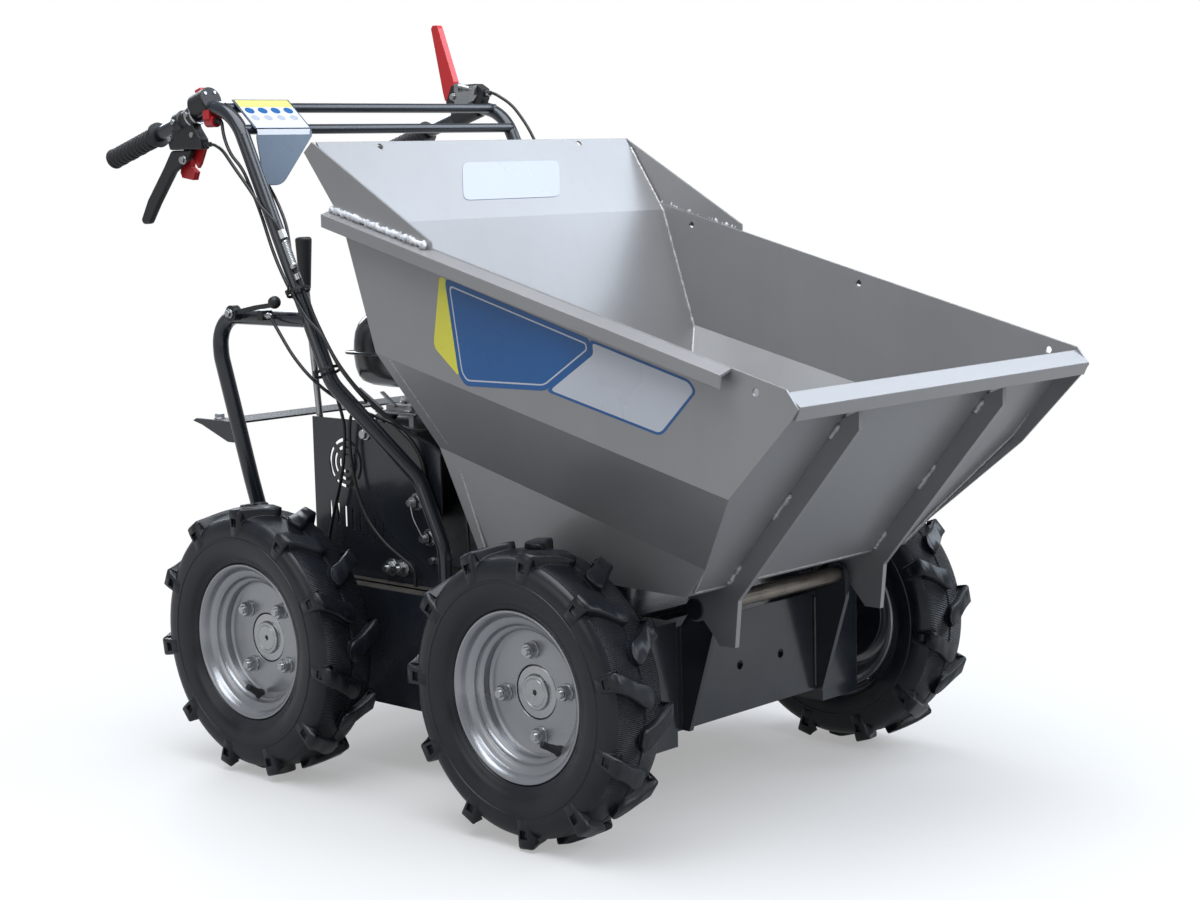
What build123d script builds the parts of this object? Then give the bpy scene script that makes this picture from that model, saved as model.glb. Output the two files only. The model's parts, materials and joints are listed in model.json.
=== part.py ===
from build123d import *
from math import atan, atan2, cos, degrees, hypot, pi, radians, sin, tan
import os

# Walk-behind four-wheel site dumper, in millimetres.  +X is forward, the way the skip tips,
# +Y is the machine's left, +Z is up.  X = 0 is midway between the axles while modelling,
# and the finished pieces move by ORIGIN_X so that the origin is under the middle.

# ---- running gear ----
WHEEL_BASE = 556.0
TYRE_R = 200.0          # to the lugs' tips
LUG_H = 13.0            # the tread between the lugs lies this much lower
TYRE_HALF_W = 51.0      # widest, at the side wall
TREAD_HALF_W = 46.0     # at the shoulder
WHEEL_Y = 337.0         # middle plane of a wheel
RIM_HALF_W = 39.5
RIM_FLANGE_R = 115.3
BEAD_R = 101.6
RIM_WELL_R = 91.0
DISC_R = 81.0
DISC_OUT = 8.0          # outer face of the wheel disc, out from the middle plane
RIM_T = 3.0
LUGS_PER_SIDE = 11
TYRE_FACETS = 2 * LUGS_PER_SIDE
LUG_W = 26.0
LUG_CROWN = 9.0         # how much lower a lug is at the shoulder
LUG_PAST_MIDDLE = 6.0
LUG_SKEW = 30.0         # how far a lug runs round the tyre from shoulder to middle
HUB_FLANGE_R = 74.0
HUB_FLANGE_T = 7.0
HUB_BOSS_R = 31.0
HUB_BOSS_OUT = 7.0
AXLE_R = 17.5
AXLE_STICK_OUT = 4.0
STUD_R = 6.0
STUD_CIRCLE_R = 56.5
STUD_COUNT = 4
NUT_AF = 19.0
NUT_T = 10.0
STUD_STICK_OUT = 5.0
FRONT_HUB_TURN = 8.0    # degrees that the stud circle is turned
REAR_HUB_TURN = 51.0
BEARING_CLEAR = 0.05    # radial running clearance of shafts in their bores

# ---- chassis ----
BOX_IN = 160.0          # the two chain cases, from this |y|
BOX_OUT = 242.0         # to this |y|
BOX_BOTTOM = 104.0
BOX_TOP = 275.0
BOX_REAR = -440.0
BOX_FRONT = 368.0
BEARING_R = 36.0
BEARING_OUT = 20.0
AXLE_DEPTH = 40.0       # how far a wheel shaft reaches into its chain case
PLATE_T = 8.0
FRONT_PLATE_BOTTOM = 125.0
FRONT_PLATE_TOP = 268.0
FRONT_FLANGE = 40.0
TOW_HOLE_R = 6.5
TOW_HOLE_Y = (-27.0, 63.0)
TOW_HOLE_Z = 191.8
EAR_IN = 142.0
EAR_T = 8.0
EAR_GAP = 6.0           # between an ear and the skip's rib beside it
TIP_X = 407.0           # tip axis
TIP_Z = 298.0
TIP_SHAFT_R = 10.0
TIP_HEAD_R = 14.0
TIP_HEAD_T = 3.0
LOBE_R = 17.0
DECK_T = 8.0
DECK_FRONT = 300.0

# ---- side panels ----
PANEL_Y = 200.0         # outer face
PANEL_T = 2.0
PANEL_REAR = -322.0
PANEL_FRONT = -40.0
PANEL_TOP = 513.0
PANEL_STEP_X = -143.5
PANEL_FRONT_TOP = 480.0
PANEL_FOOT = 18.0
VENT_X = -248.0         # round vent, on the crankshaft's line
VENT_Z = 446.6
VENT_R = (13.0, 24.0, 35.0)
VENT_SLOT = 5.0
SLOT_COUNT = 8
SLOT_PITCH = 16.8
SLOT_X = -286.0
SLOT_Z = 372.0
SLOT_DROP = 3.3
SLOT_W = 5.0
SLOT_H = 31.0

# ---- engine ----
ENGINE_BASE_Z = 318.0
ENGINE_REAR = -300.0
ENGINE_FRONT = -120.0
ENGINE_RIGHT = -70.0
ENGINE_LEFT = 105.0
ENGINE_TOP = 520.0
MOUNT_INSET = 12.0
HEAD_REAR = -165.0
HEAD_FRONT = -48.0
HEAD_BOTTOM = 425.0
HEAD_INSET = 18.0
CRANK_X = -215.0
CRANK_Z = 424.0
RECOIL_R = 78.0
RECOIL_Y = -128.0
STARTER_R = 56.0
STARTER_T = 24.0
TANK_REAR = -325.0
TANK_FRONT = -97.0
TANK_Y0 = -140.0
TANK_Y1 = 60.0
TANK_BOTTOM = ENGINE_TOP + 32
TANK_SEAM = TANK_BOTTOM + 53
TANK_TOP = TANK_SEAM + 71
SEAM_FLANGE = 8.0
TANK_CORNER_R = 28.0
TANK_TOP_R = 16.0
TANK_BOTTOM_R = 20.0
CAP_R = 30.0
CAP_H = 14.0
TANK_LEG = 18.0
COVER_GAP = 12.0        # between the silencer and the air cleaner
CLEANER_TOP = ENGINE_TOP + 148
SILENCER_TOP = ENGINE_TOP + 120
COVER_R = 12.0
BELT_COVER_T = 50.0

# ---- handlebar ----
BAR_R = 11.0
BAR_Y = 280.0
BAR_FOOT_Y = 211.3
BAR_TOP = (-388.0, 994.0)       # x, z of the upper bend
BAR_SLOPE = degrees(atan(0.29))
HANDLE_REACH = 312.0            # from the upper bend to the grip's end
BAR_TOP_BEND_R = 80.0
BAR_KNEE = (-178.0, 578.0)
BAR_LOWER_KNEE = (-72.0, 437.0)
BAR_FOOT_X = -24.0
BAR_FOOT_Z = 340.0
BAR_JOGGLE_R = 60.0
CROSS_R = 7.5
CROSS_BARS = ((-398.0, 978.0), (-359.0, 945.0))     # x, z
STAY_R = 12.0
STAY_Z = 668.0
STAY_CORNER_X = -437.0
STAY_BEND_R = 45.0
STAY_LEG = ((-434.0, 605.0, 280.0), (-425.0, 413.0, 240.0))      # x, z, |y|
STAY_FOOT = (-417.0, 209.0)     # x, |y|
GRIP_R = 16.0
GRIP_LEN = 129.0
GRIP_COLLAR_R = 20.0
GRIP_COLLAR_T = 6.0
GRIP_END = 4.0

# ---- controls ----
CLAMP_AT = 104.0                # along the handle tube from the upper bend's corner
CLAMP_LEN = 54.0
CLAMP_R = 16.5
HOUSING_T = 18.0
LEVER_T = 12.0
LATCH_T = 10.0
SWITCH_AT = 60.0
SWITCH_LEN = 34.0
SWITCH_R = 19.0
SWITCH_UP = 10.0
GEAR_KNOB = (-353.0, -178.0, 705.0)     # x, y, z of the knob's foot
GEAR_KNOB_H = 78.0
SEAT_GAP = 0.3                  # between pieces that only lie beside each other
CABLE_R = 2.5

# ---- rear platform and label plate ----
SHELF_Z = 500.0
SHELF_T = 3.0
SHELF_REAR = -515.0
SHELF_FRONT = -450.0
GUSSET_Y = 257.0
GUSSET_T = 5.0
LABEL_T = 2.0
LABEL_RIGHT_Y = -160.0
LABEL_LEFT_Y = -267.0
LABEL_TIP_W = 30.0

# ---- skip ----
SHEET = 3.0
SKIP_HALF_W = 324.0             # outer face of the upright facet
RIM_Z0 = 800.0                  # top edge of a side at X = 0
RIM_SLOPE = -0.264
SIDE_REAR_SLOPE = -0.339        # dx/dz of a side's rear edge
SIDE_REAR_X = 72.4              # where it meets the floor
FLOOR_Z = 332.0                 # underside of the floor
SIDE_FRONT_X = 457.2            # where the front edge meets the floor
LIP_BOTTOM = (696.2, 582.6)     # x, z
LIP_FRONT = (706.0, 595.7)
LIP_BACK = (685.5, 611.0)
CREASE_X = 256.45               # station where the creases are set out
CREASE_UP_Z = 563.0
CREASE_UP_SLOPE = -0.2405
CREASE_LOW_Z = 434.15
CREASE_LOW_Y = 250.5
CREASE_LOW_SLOPE = -0.2558
FLOOR_EDGE_Y = 234.0
FLANGE_OUT = 21.0
FLANGE_DROP = 7.0
FLANGE_DOWN = 17.5
FLANGE_REAR = -110.0
FLANGE_FRONT = 606.0
BACK_X = -12.0                  # outer face of the back wall at BACK_Z
BACK_Z = 642.0
BACK_SLOPE = -0.33              # dx/dz
BACK_CREASE_Z = 808.0
BACK_TOP = (-144.6, 922.0)
WING_STEP = 1.0                 # the wing plates stand this far outside the upright facets
WING_TIP = (94.0, 784.7)
WING_REAR = (-161.9, 908.0)
RIB_IN = 156.0
RIB_T = 8.0
RIB_TOP = (675.0, 577.0)
RIB_TOP_LOWER = (674.6, 553.0)
RIB_KINK = (479.7, 317.3)
RIB_FOOT = (473.3, 254.0)
RIB_FOOT_REAR_X = 437.0
RIB_HEEL_X = 384.0
HOLE_R = 5.0
FRONT_HOLE_X = 643.0            # in both sides, ahead of the flange
LEFT_HOLES_X = (-4.8, 319.0)    # through the left side and its flange
SIDE_HOLE_DROP = 17.5           # below the rim
BACK_HOLES = ((-138.4, -207.5, 913.0), (-138.4, 207.5, 913.0))      # x, y, z

LIP_X = LIP_FRONT[0]
GRIP_X = BAR_TOP[0] - HANDLE_REACH * cos(radians(BAR_SLOPE)) - GRIP_R * sin(radians(BAR_SLOPE))
ORIGIN_X = (LIP_X + GRIP_X) / 2


# ---- shapes used by several pieces ----
def block(x0, x1, y0, y1, z0, z1):
    size = Box(abs(x1 - x0), abs(y1 - y0), abs(z1 - z0))
    return Pos((x0 + x1) / 2, (y0 + y1) / 2, (z0 + z1) / 2) * size


def slab_xz(points, y0, y1):
    """A flat plate whose outline lies in XZ, from y0 to y1."""
    outline = Polyline(*[(x, y0, z) for x, z in points], close=True)
    return extrude(make_face(outline), amount=y1 - y0, dir=(0, 1, 0))


def rod_y(x, z, radius, y0, y1):
    """A round bar along Y."""
    bar = Cylinder(radius, abs(y1 - y0), rotation=(90, 0, 0))
    return Pos(x, (y0 + y1) / 2, z) * bar


def rod(start, end, radius):
    """A round bar between two points."""
    line = Line(start, end)
    return sweep(Plane(origin=start, z_dir=line % 0) * Circle(radius), path=line)


def tube(points, radii, radius):
    """A round bar along straight runs joined by tangent arcs."""
    path = FilletPolyline(*points, radius=radii)
    return sweep(Plane(origin=points[0], z_dir=path % 0) * Circle(radius), path=path)


def ring_of(profile):
    """Revolves an outline of (radius, y) about the Y axis."""
    return revolve(make_face(Polyline(*profile, close=True)), Axis.Y)


def keep_below(shape, point, normal):
    """Keeps what lies behind the plane through point with this outward normal."""
    return split(shape, bisect_by=Plane(origin=point, z_dir=normal), keep=Keep.BOTTOM)


def strap_xz(points, width, y0, y1):
    """A flat bar of even width with round ends and corners, in XZ."""
    half = width / 2
    shape = None
    for (xa, za), (xb, zb) in zip(points, points[1:]):
        run = hypot(xb - xa, zb - za)
        nx = -(zb - za) / run * half
        nz = (xb - xa) / run * half
        corners = [(xa + nx, za + nz), (xb + nx, zb + nz), (xb - nx, zb - nz), (xa - nx, za - nz)]
        piece = slab_xz(corners, y0, y1)
        shape = piece if shape is None else shape + piece
    for x, z in points:
        shape = shape + rod_y(x, z, half, y0, y1)
    return shape


def both_sides(shape):
    """The shape and its mirror image across the machine's middle."""
    return Compound([*shape.solids(), *mirror(shape, about=Plane.XZ).solids()])


os.makedirs("parts", exist_ok=True)


def save(shape, name):
    export_step(Pos(-ORIGIN_X, 0, 0) * Compound(shape.solids()), f"parts/{name}.step")


# ---- wheels, modelled with +Y outward, centred on the origin ----
def ring_point(radius, y, step, facets):
    angle = 2 * pi * (step % facets) / facets
    return (radius * sin(angle), y, -radius * cos(angle))


def faceted_ring(half, facets):
    """A ring of flat facets about Y; half is its outline as (radius, y), mirrored in y."""
    outline = half + [(r, -y) for r, y in reversed(half)]
    faces = []
    for step in range(facets):
        for (ra, ya), (rb, yb) in zip(outline, outline[1:] + outline[:1]):
            corners = [
                ring_point(ra, ya, step, facets), ring_point(rb, yb, step, facets),
                ring_point(rb, yb, step + 1, facets), ring_point(ra, ya, step + 1, facets),
            ]
            faces.append(make_face(Polyline(*corners, close=True)).faces()[0])
    return Solid(Shell(faces))


def make_tyre():
    pitch = 360 / LUGS_PER_SIDE
    base_r = TYRE_R - LUG_H
    bead_r = BEAD_R / cos(pi / TYRE_FACETS)
    bead_y = RIM_HALF_W - RIM_T
    shape = faceted_ring([
        (bead_r, bead_y), (RIM_FLANGE_R + 4, bead_y), ((RIM_FLANGE_R + base_r) / 2, TYRE_HALF_W),
        (base_r - 6, TREAD_HALF_W), (base_r, TREAD_HALF_W - 16),
    ], TYRE_FACETS)
    tread = faceted_ring([
        (TYRE_R - 2 * LUG_H, TREAD_HALF_W), (TYRE_R - LUG_CROWN, TREAD_HALF_W), (TYRE_R, TREAD_HALF_W - 26),
    ], TYRE_FACETS)
    for side in (-1, 1):
        # The lug's corners as (round the tyre, across it), at the bottom of the tyre.
        plan = [
            (-LUG_SKEW - LUG_W / 2, side * TREAD_HALF_W), (-LUG_SKEW + LUG_W / 2, side * TREAD_HALF_W),
            (LUG_W / 2, -side * LUG_PAST_MIDDLE), (-LUG_W / 2, -side * LUG_PAST_MIDDLE),
        ]
        outline = Polyline(*[(t, y, -TYRE_R - 5) for t, y in plan], close=True)
        lug = extrude(make_face(outline), amount=1.6 * LUG_H + 5, dir=(0, 0, 1)) & tread
        turns = [(step + (0.5 if side > 0 else 0)) * pitch for step in range(LUGS_PER_SIDE)]
        shape = shape.fuse(*[solid for turn in turns for solid in (Rot(0, turn, 0) * lug).solids()])
    return shape


def make_rim():
    well_in = RIM_HALF_W - 20
    outer = [
        (RIM_FLANGE_R, RIM_HALF_W), (RIM_FLANGE_R, RIM_HALF_W - RIM_T), (BEAD_R, RIM_HALF_W - RIM_T),
        (BEAD_R, RIM_HALF_W - 14), (RIM_WELL_R, RIM_HALF_W - 20), (RIM_WELL_R, -well_in),
        (BEAD_R, -RIM_HALF_W + 14), (BEAD_R, -RIM_HALF_W + RIM_T), (RIM_FLANGE_R, -RIM_HALF_W + RIM_T),
        (RIM_FLANGE_R, -RIM_HALF_W), (BEAD_R - RIM_T, -RIM_HALF_W), (BEAD_R - RIM_T, -RIM_HALF_W + 13),
        (RIM_WELL_R - RIM_T, -well_in + 1), (RIM_WELL_R - RIM_T, DISC_OUT - RIM_T),
        (HUB_BOSS_R, DISC_OUT - RIM_T), (HUB_BOSS_R, DISC_OUT), (DISC_R, DISC_OUT),
        (RIM_WELL_R - RIM_T, DISC_OUT + 9), (RIM_WELL_R - RIM_T, RIM_HALF_W - 20),
        (BEAD_R - RIM_T, RIM_HALF_W - 14), (BEAD_R - RIM_T, RIM_HALF_W),
    ]
    shape = ring_of(outer)
    for step in range(STUD_COUNT):
        angle = radians(step * 360 / STUD_COUNT)
        hole = rod_y(STUD_CIRCLE_R * cos(angle), STUD_CIRCLE_R * sin(angle), STUD_R,
                     DISC_OUT - RIM_T - 1, DISC_OUT + 1)
        shape = shape - hole
    return shape


def make_hub():
    face = DISC_OUT - RIM_T
    shaft_in = BOX_OUT - AXLE_DEPTH - WHEEL_Y
    shape = rod_y(0, 0, HUB_FLANGE_R, face - HUB_FLANGE_T, face)
    shape = shape + rod_y(0, 0, HUB_BOSS_R, face - HUB_FLANGE_T, DISC_OUT + HUB_BOSS_OUT)
    shape = shape + rod_y(0, 0, AXLE_R, shaft_in, DISC_OUT + HUB_BOSS_OUT + AXLE_STICK_OUT)
    for step in range(STUD_COUNT):
        angle = radians(step * 360 / STUD_COUNT)
        x = STUD_CIRCLE_R * cos(angle)
        z = STUD_CIRCLE_R * sin(angle)
        shape = shape + rod_y(x, z, STUD_R, face - 1, DISC_OUT + NUT_T + STUD_STICK_OUT)
        nut = extrude(RegularPolygon(NUT_AF / 2, 6, major_radius=False), amount=NUT_T)
        shape = shape + Pos(x, DISC_OUT, z) * Rot(-90, 0, 0) * nut
    return shape


def make_wheels():
    tyre = make_tyre()
    rim = make_rim()
    hub = make_hub()
    wheels = (("front", WHEEL_BASE / 2, FRONT_HUB_TURN), ("rear", -WHEEL_BASE / 2, REAR_HUB_TURN))
    for place, x, turn in wheels:
        for side_name, side in (("right", -1), ("left", 1)):
            # The studs turn with the hub; a right wheel faces -Y.
            face_out = Rot(0, -turn, 0) if side > 0 else Rot(0, -turn, 0) * Rot(0, 0, 180)
            where = Pos(x, side * WHEEL_Y, TYRE_R)
            name = f"{place}_{side_name}"
            save(where * tyre, f"tyre_{name}")
            save(where * face_out * rim, f"rim_{name}")
            save(where * face_out * hub, f"hub_{name}")


# ---- chassis ----
def make_side_box(side):
    shape = block(BOX_REAR, BOX_FRONT, side * BOX_IN, side * BOX_OUT, BOX_BOTTOM, BOX_TOP)
    for x in (-WHEEL_BASE / 2, WHEEL_BASE / 2):
        shape = shape + rod_y(x, TYRE_R, BEARING_R, side * BOX_OUT, side * (BOX_OUT + BEARING_OUT))
        bore = rod_y(x, TYRE_R, AXLE_R + BEARING_CLEAR, side * (BOX_OUT - AXLE_DEPTH - 1),
                     side * (BOX_OUT + BEARING_OUT + 1))
        shape = shape - bore
    return shape


def make_front_plate():
    shape = block(BOX_FRONT - PLATE_T, BOX_FRONT, -BOX_IN, BOX_IN, FRONT_PLATE_BOTTOM, FRONT_PLATE_TOP)
    shape = shape + block(BOX_FRONT - FRONT_FLANGE, BOX_FRONT, -BOX_IN, BOX_IN,
                          FRONT_PLATE_TOP - PLATE_T, FRONT_PLATE_TOP)
    for y in TOW_HOLE_Y:
        hole = Cylinder(TOW_HOLE_R, 3 * PLATE_T, rotation=(0, 90, 0))
        shape = shape - Pos(BOX_FRONT - PLATE_T / 2, y, TOW_HOLE_Z) * hole
    ear = slab_xz([
        (BOX_FRONT, FRONT_PLATE_BOTTOM), (BOX_FRONT + 12, FRONT_PLATE_BOTTOM),
        (TIP_X + LOBE_R, TIP_Z - 33), (TIP_X + LOBE_R, TIP_Z), (TIP_X - LOBE_R, TIP_Z),
        (BOX_FRONT, TIP_Z - 30),
    ], EAR_IN, EAR_IN + EAR_T)
    ear = ear + rod_y(TIP_X, TIP_Z, LOBE_R, EAR_IN, EAR_IN + EAR_T)
    ear = ear - rod_y(TIP_X, TIP_Z, TIP_SHAFT_R, EAR_IN - 1, EAR_IN + EAR_T + 1)
    return shape + ear + mirror(ear, about=Plane.XZ)


def make_tip_shaft():
    end = RIB_IN + RIB_T + 1.0
    shape = rod_y(TIP_X, TIP_Z, TIP_SHAFT_R, -end, end)
    for side in (-1, 1):
        shape = shape + rod_y(TIP_X, TIP_Z, TIP_HEAD_R, side * end, side * (end + TIP_HEAD_T))
    return shape


def make_deck():
    shape = block(BOX_REAR, DECK_FRONT, -BOX_IN, BOX_IN, BOX_TOP - DECK_T, BOX_TOP)
    shape = shape + block(BOX_REAR, BOX_REAR + DECK_T, -BOX_IN, BOX_IN, FRONT_PLATE_BOTTOM, BOX_TOP)
    return shape


def make_gearbox():
    shape = block(-120, 60, -BOX_IN, BOX_IN, 140, 215)
    shape = shape + block(-105, 45, -80, 80, 118, BOX_TOP - DECK_T)
    return shape


def make_side_panel(side):
    outline = [
        (PANEL_REAR, BOX_TOP), (PANEL_FRONT, BOX_TOP), (PANEL_FRONT, PANEL_FRONT_TOP),
        (PANEL_STEP_X, PANEL_TOP), (PANEL_REAR, PANEL_TOP),
    ]
    shape = slab_xz(outline, side * (PANEL_Y - PANEL_T), side * PANEL_Y)
    shape = shape + block(PANEL_REAR, PANEL_FRONT, side * (PANEL_Y - PANEL_FOOT), side * PANEL_Y,
                          BOX_TOP, BOX_TOP + PANEL_T)
    through = (side * (PANEL_Y - 3 * PANEL_T), side * (PANEL_Y + PANEL_T))
    for step in range(SLOT_COUNT):
        x = SLOT_X + step * SLOT_PITCH
        z = SLOT_Z - step * SLOT_DROP
        shape = shape - block(x - SLOT_W / 2, x + SLOT_W / 2, *through, z - SLOT_H / 2, z + SLOT_H / 2)
    for radius in VENT_R:
        ring = rod_y(VENT_X, VENT_Z, radius + VENT_SLOT / 2, *through)
        ring = ring - rod_y(VENT_X, VENT_Z, radius - VENT_SLOT / 2, *through)
        # Four bridges carry the vent's middle.
        for turn in (45, 135):
            bridge = Pos(VENT_X, 0, VENT_Z) * Rot(0, turn, 0) * Box(3 * radius, 3 * BOX_OUT, 7)
            ring = ring - bridge
        shape = shape - ring
    return shape


# ---- engine ----
def make_engine_block():
    shape = block(ENGINE_REAR, ENGINE_FRONT, ENGINE_RIGHT, ENGINE_LEFT, ENGINE_BASE_Z, ENGINE_TOP)
    shape = shape + block(HEAD_REAR, HEAD_FRONT, ENGINE_RIGHT + HEAD_INSET, ENGINE_LEFT - HEAD_INSET,
                          HEAD_BOTTOM, ENGINE_TOP)
    shape = shape + block(ENGINE_REAR + MOUNT_INSET, ENGINE_FRONT - MOUNT_INSET,
                          ENGINE_RIGHT + MOUNT_INSET, ENGINE_LEFT - MOUNT_INSET, BOX_TOP, ENGINE_BASE_Z)
    return shape


def make_recoil_cover():
    """The fan cowl on the engine's right side with the pull starter's round cover on it."""
    cowl = rod_y(CRANK_X, CRANK_Z, RECOIL_R, ENGINE_RIGHT, RECOIL_Y + STARTER_T)
    cowl = cowl + block(CRANK_X - RECOIL_R, CRANK_X + RECOIL_R, ENGINE_RIGHT, RECOIL_Y + STARTER_T,
                        CRANK_Z, ENGINE_TOP - MOUNT_INSET)
    cowl = fillet(cowl.faces().sort_by(Axis.Y)[0].edges(), 8)
    return cowl + rod_y(CRANK_X, CRANK_Z, STARTER_R, RECOIL_Y, RECOIL_Y + STARTER_T + 2)


def make_fuel_tank():
    upper = block(TANK_REAR + SEAM_FLANGE, TANK_FRONT - SEAM_FLANGE, TANK_Y0 + SEAM_FLANGE,
                  TANK_Y1 - SEAM_FLANGE, TANK_SEAM, TANK_TOP)
    upper = fillet(upper.edges().filter_by(Axis.Z), TANK_CORNER_R)
    upper = fillet(upper.faces().sort_by(Axis.Z)[-1].edges(), TANK_TOP_R)
    lower = block(TANK_REAR + SEAM_FLANGE, TANK_FRONT - SEAM_FLANGE, TANK_Y0 + SEAM_FLANGE,
                  TANK_Y1 - SEAM_FLANGE, TANK_BOTTOM, TANK_SEAM)
    lower = fillet(lower.edges().filter_by(Axis.Z), TANK_CORNER_R)
    lower = fillet(lower.faces().sort_by(Axis.Z)[0].edges(), TANK_BOTTOM_R)
    seam = block(TANK_REAR, TANK_FRONT, TANK_Y0, TANK_Y1, TANK_SEAM - SHEET / 2, TANK_SEAM + SHEET / 2)
    seam = fillet(seam.edges().filter_by(Axis.Z), TANK_CORNER_R + SEAM_FLANGE)
    middle_x = (TANK_REAR + TANK_FRONT) / 2
    middle_y = (TANK_Y0 + TANK_Y1) / 2
    cap = Pos(middle_x, middle_y, TANK_TOP + CAP_H / 2 - 1) * Cylinder(CAP_R, CAP_H + 2)
    shape = upper + lower + seam + cap
    leg_y = max(ENGINE_RIGHT, TANK_Y0) + 2 * TANK_LEG
    for x in (ENGINE_REAR + 2 * TANK_LEG, ENGINE_FRONT - 2 * TANK_LEG):
        for y in (leg_y, TANK_Y1 - 2 * TANK_LEG):
            leg = block(x - TANK_LEG / 2, x + TANK_LEG / 2, y - TANK_LEG / 2, y + TANK_LEG / 2,
                        ENGINE_TOP, TANK_BOTTOM + 4)
            shape = shape + leg
    return shape


def make_air_cleaner():
    rear = TANK_FRONT + 5
    middle = (ENGINE_RIGHT + ENGINE_LEFT) / 2 - 30
    shape = block(rear, HEAD_FRONT + 8, ENGINE_RIGHT - 50, middle, ENGINE_TOP, CLEANER_TOP)
    return fillet(shape.edges().filter_by(Axis.Z), COVER_R)


def make_silencer():
    rear = TANK_FRONT + 5
    middle = (ENGINE_RIGHT + ENGINE_LEFT) / 2 - 30 + COVER_GAP
    shape = block(rear, HEAD_FRONT + 8, middle, ENGINE_LEFT, ENGINE_TOP, SILENCER_TOP)
    shape = fillet(shape.edges().filter_by(Axis.Y), COVER_R)
    return shape + rod_y(rear + 28, SILENCER_TOP - 30, 9, ENGINE_LEFT - 1, ENGINE_LEFT + 20)


def make_belt_cover():
    outline = [
        (ENGINE_REAR - 10, BOX_TOP + 15), (PANEL_FRONT - 20, BOX_TOP + 15), (PANEL_FRONT - 20, BOX_TOP + 90),
        (CRANK_X + 40, ENGINE_TOP), (CRANK_X - 40, ENGINE_TOP), (ENGINE_REAR - 10, CRANK_Z - 40),
    ]
    shape = slab_xz(outline, ENGINE_LEFT, ENGINE_LEFT + BELT_COVER_T)
    return fillet(shape.edges().filter_by(Axis.Y), 10)


# ---- handlebar ----
def bar_points(side):
    reach = HANDLE_REACH - GRIP_END
    end = (BAR_TOP[0] - reach * cos(radians(BAR_SLOPE)), BAR_TOP[1] - reach * sin(radians(BAR_SLOPE)))
    return [
        (end[0], side * BAR_Y, end[1]),
        (BAR_TOP[0], side * BAR_Y, BAR_TOP[1]),
        (BAR_KNEE[0], side * BAR_Y, BAR_KNEE[1]),
        (BAR_LOWER_KNEE[0], side * BAR_FOOT_Y, BAR_LOWER_KNEE[1]),
        (BAR_FOOT_X, side * BAR_FOOT_Y, BAR_FOOT_Z),
        (BAR_FOOT_X, side * BAR_FOOT_Y, BOX_TOP),
    ]


def make_handle_tube(side):
    radii = [BAR_TOP_BEND_R, BAR_JOGGLE_R, BAR_JOGGLE_R, BAR_JOGGLE_R]
    return tube(bar_points(side), radii, BAR_R)


def make_stay(side, bar):
    start_x = BAR_KNEE[0] + (STAY_Z - BAR_KNEE[1]) * (BAR_TOP[0] - BAR_KNEE[0]) / (BAR_TOP[1] - BAR_KNEE[1])
    points = [(start_x, side * BAR_Y, STAY_Z), (STAY_CORNER_X, side * BAR_Y, STAY_Z)]
    for x, z, y in STAY_LEG:
        points.append((x, side * y, z))
    points.append((STAY_FOOT[0], side * STAY_FOOT[1], BOX_TOP))
    last = Vector(*points[-1])
    run = last - Vector(*points[-2])
    points[-1] = tuple(last + run.normalized() * STAY_R)
    radii = [STAY_BEND_R, 60.0, 400.0]
    shape = tube(points, radii, STAY_R) - bar
    return keep_below(shape, (0, 0, BOX_TOP), (0, 0, -1))


def make_cross_bars(bars):
    shape = None
    for x, z in CROSS_BARS:
        piece = rod_y(x, z, CROSS_R, -BAR_Y, BAR_Y)
        shape = piece if shape is None else shape + piece
    return shape - bars


def make_rear_shelf(stays):
    shape = block(SHELF_REAR, SHELF_FRONT, -GUSSET_Y, GUSSET_Y, SHELF_Z - SHELF_T, SHELF_Z)
    gusset = slab_xz([
        (-538, 499), (-530, 503), (-427, 503), (-427, 471), (-452, 471), (-516, 494),
    ], GUSSET_Y, GUSSET_Y + GUSSET_T)
    shape = shape + gusset + mirror(gusset, about=Plane.XZ)
    return shape - stays


def make_label_plate():
    n = Vector(0.646, 0, 0.763)
    a = Vector(CROSS_BARS[0][0], 0, CROSS_BARS[0][1]) + n * (CROSS_R + 0.2)
    b = Vector(CROSS_BARS[1][0], 0, CROSS_BARS[1][1]) + n * (CROSS_R + 0.2)
    along = (b - a).normalized()
    top = a - along * 8
    bend = b + along * 6
    tip = Vector(-330, 0, 862)
    lower_n = Vector(-(tip - bend).Z, 0, (tip - bend).X).normalized()
    outline = [top, bend, tip, tip + lower_n * LABEL_T, bend + n * LABEL_T, top + n * LABEL_T]
    shape = slab_xz([(p.X, p.Z) for p in outline], LABEL_LEFT_Y, LABEL_RIGHT_Y)
    # The lower part narrows to a rounded tip beside the right-hand tube.
    corners = [
        (LABEL_LEFT_Y, BAR_TOP[1] + 20), (LABEL_RIGHT_Y, BAR_TOP[1] + 20), (LABEL_RIGHT_Y, bend.Z - 8),
        (LABEL_LEFT_Y + LABEL_TIP_W, tip.Z), (LABEL_LEFT_Y, tip.Z),
    ]
    keep = make_face(FilletPolyline(*[(0, y, z) for y, z in corners], radius=10, close=True))
    return shape & extrude(keep, amount=2 * WHEEL_BASE, dir=(-1, 0, 0))


def make_grips(bars):
    shape = None
    for side in (-1, 1):
        d = Vector(cos(radians(BAR_SLOPE)), 0, sin(radians(BAR_SLOPE)))
        corner = Vector(BAR_TOP[0], side * BAR_Y, BAR_TOP[1])
        end = corner - d * HANDLE_REACH
        grip = rod(tuple(end), tuple(end + d * GRIP_LEN), GRIP_R)
        grip = grip + rod(tuple(end + d * GRIP_LEN), tuple(end + d * (GRIP_LEN + GRIP_COLLAR_T)), GRIP_COLLAR_R)
        shape = grip if shape is None else shape + grip
    return shape - bars


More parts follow.
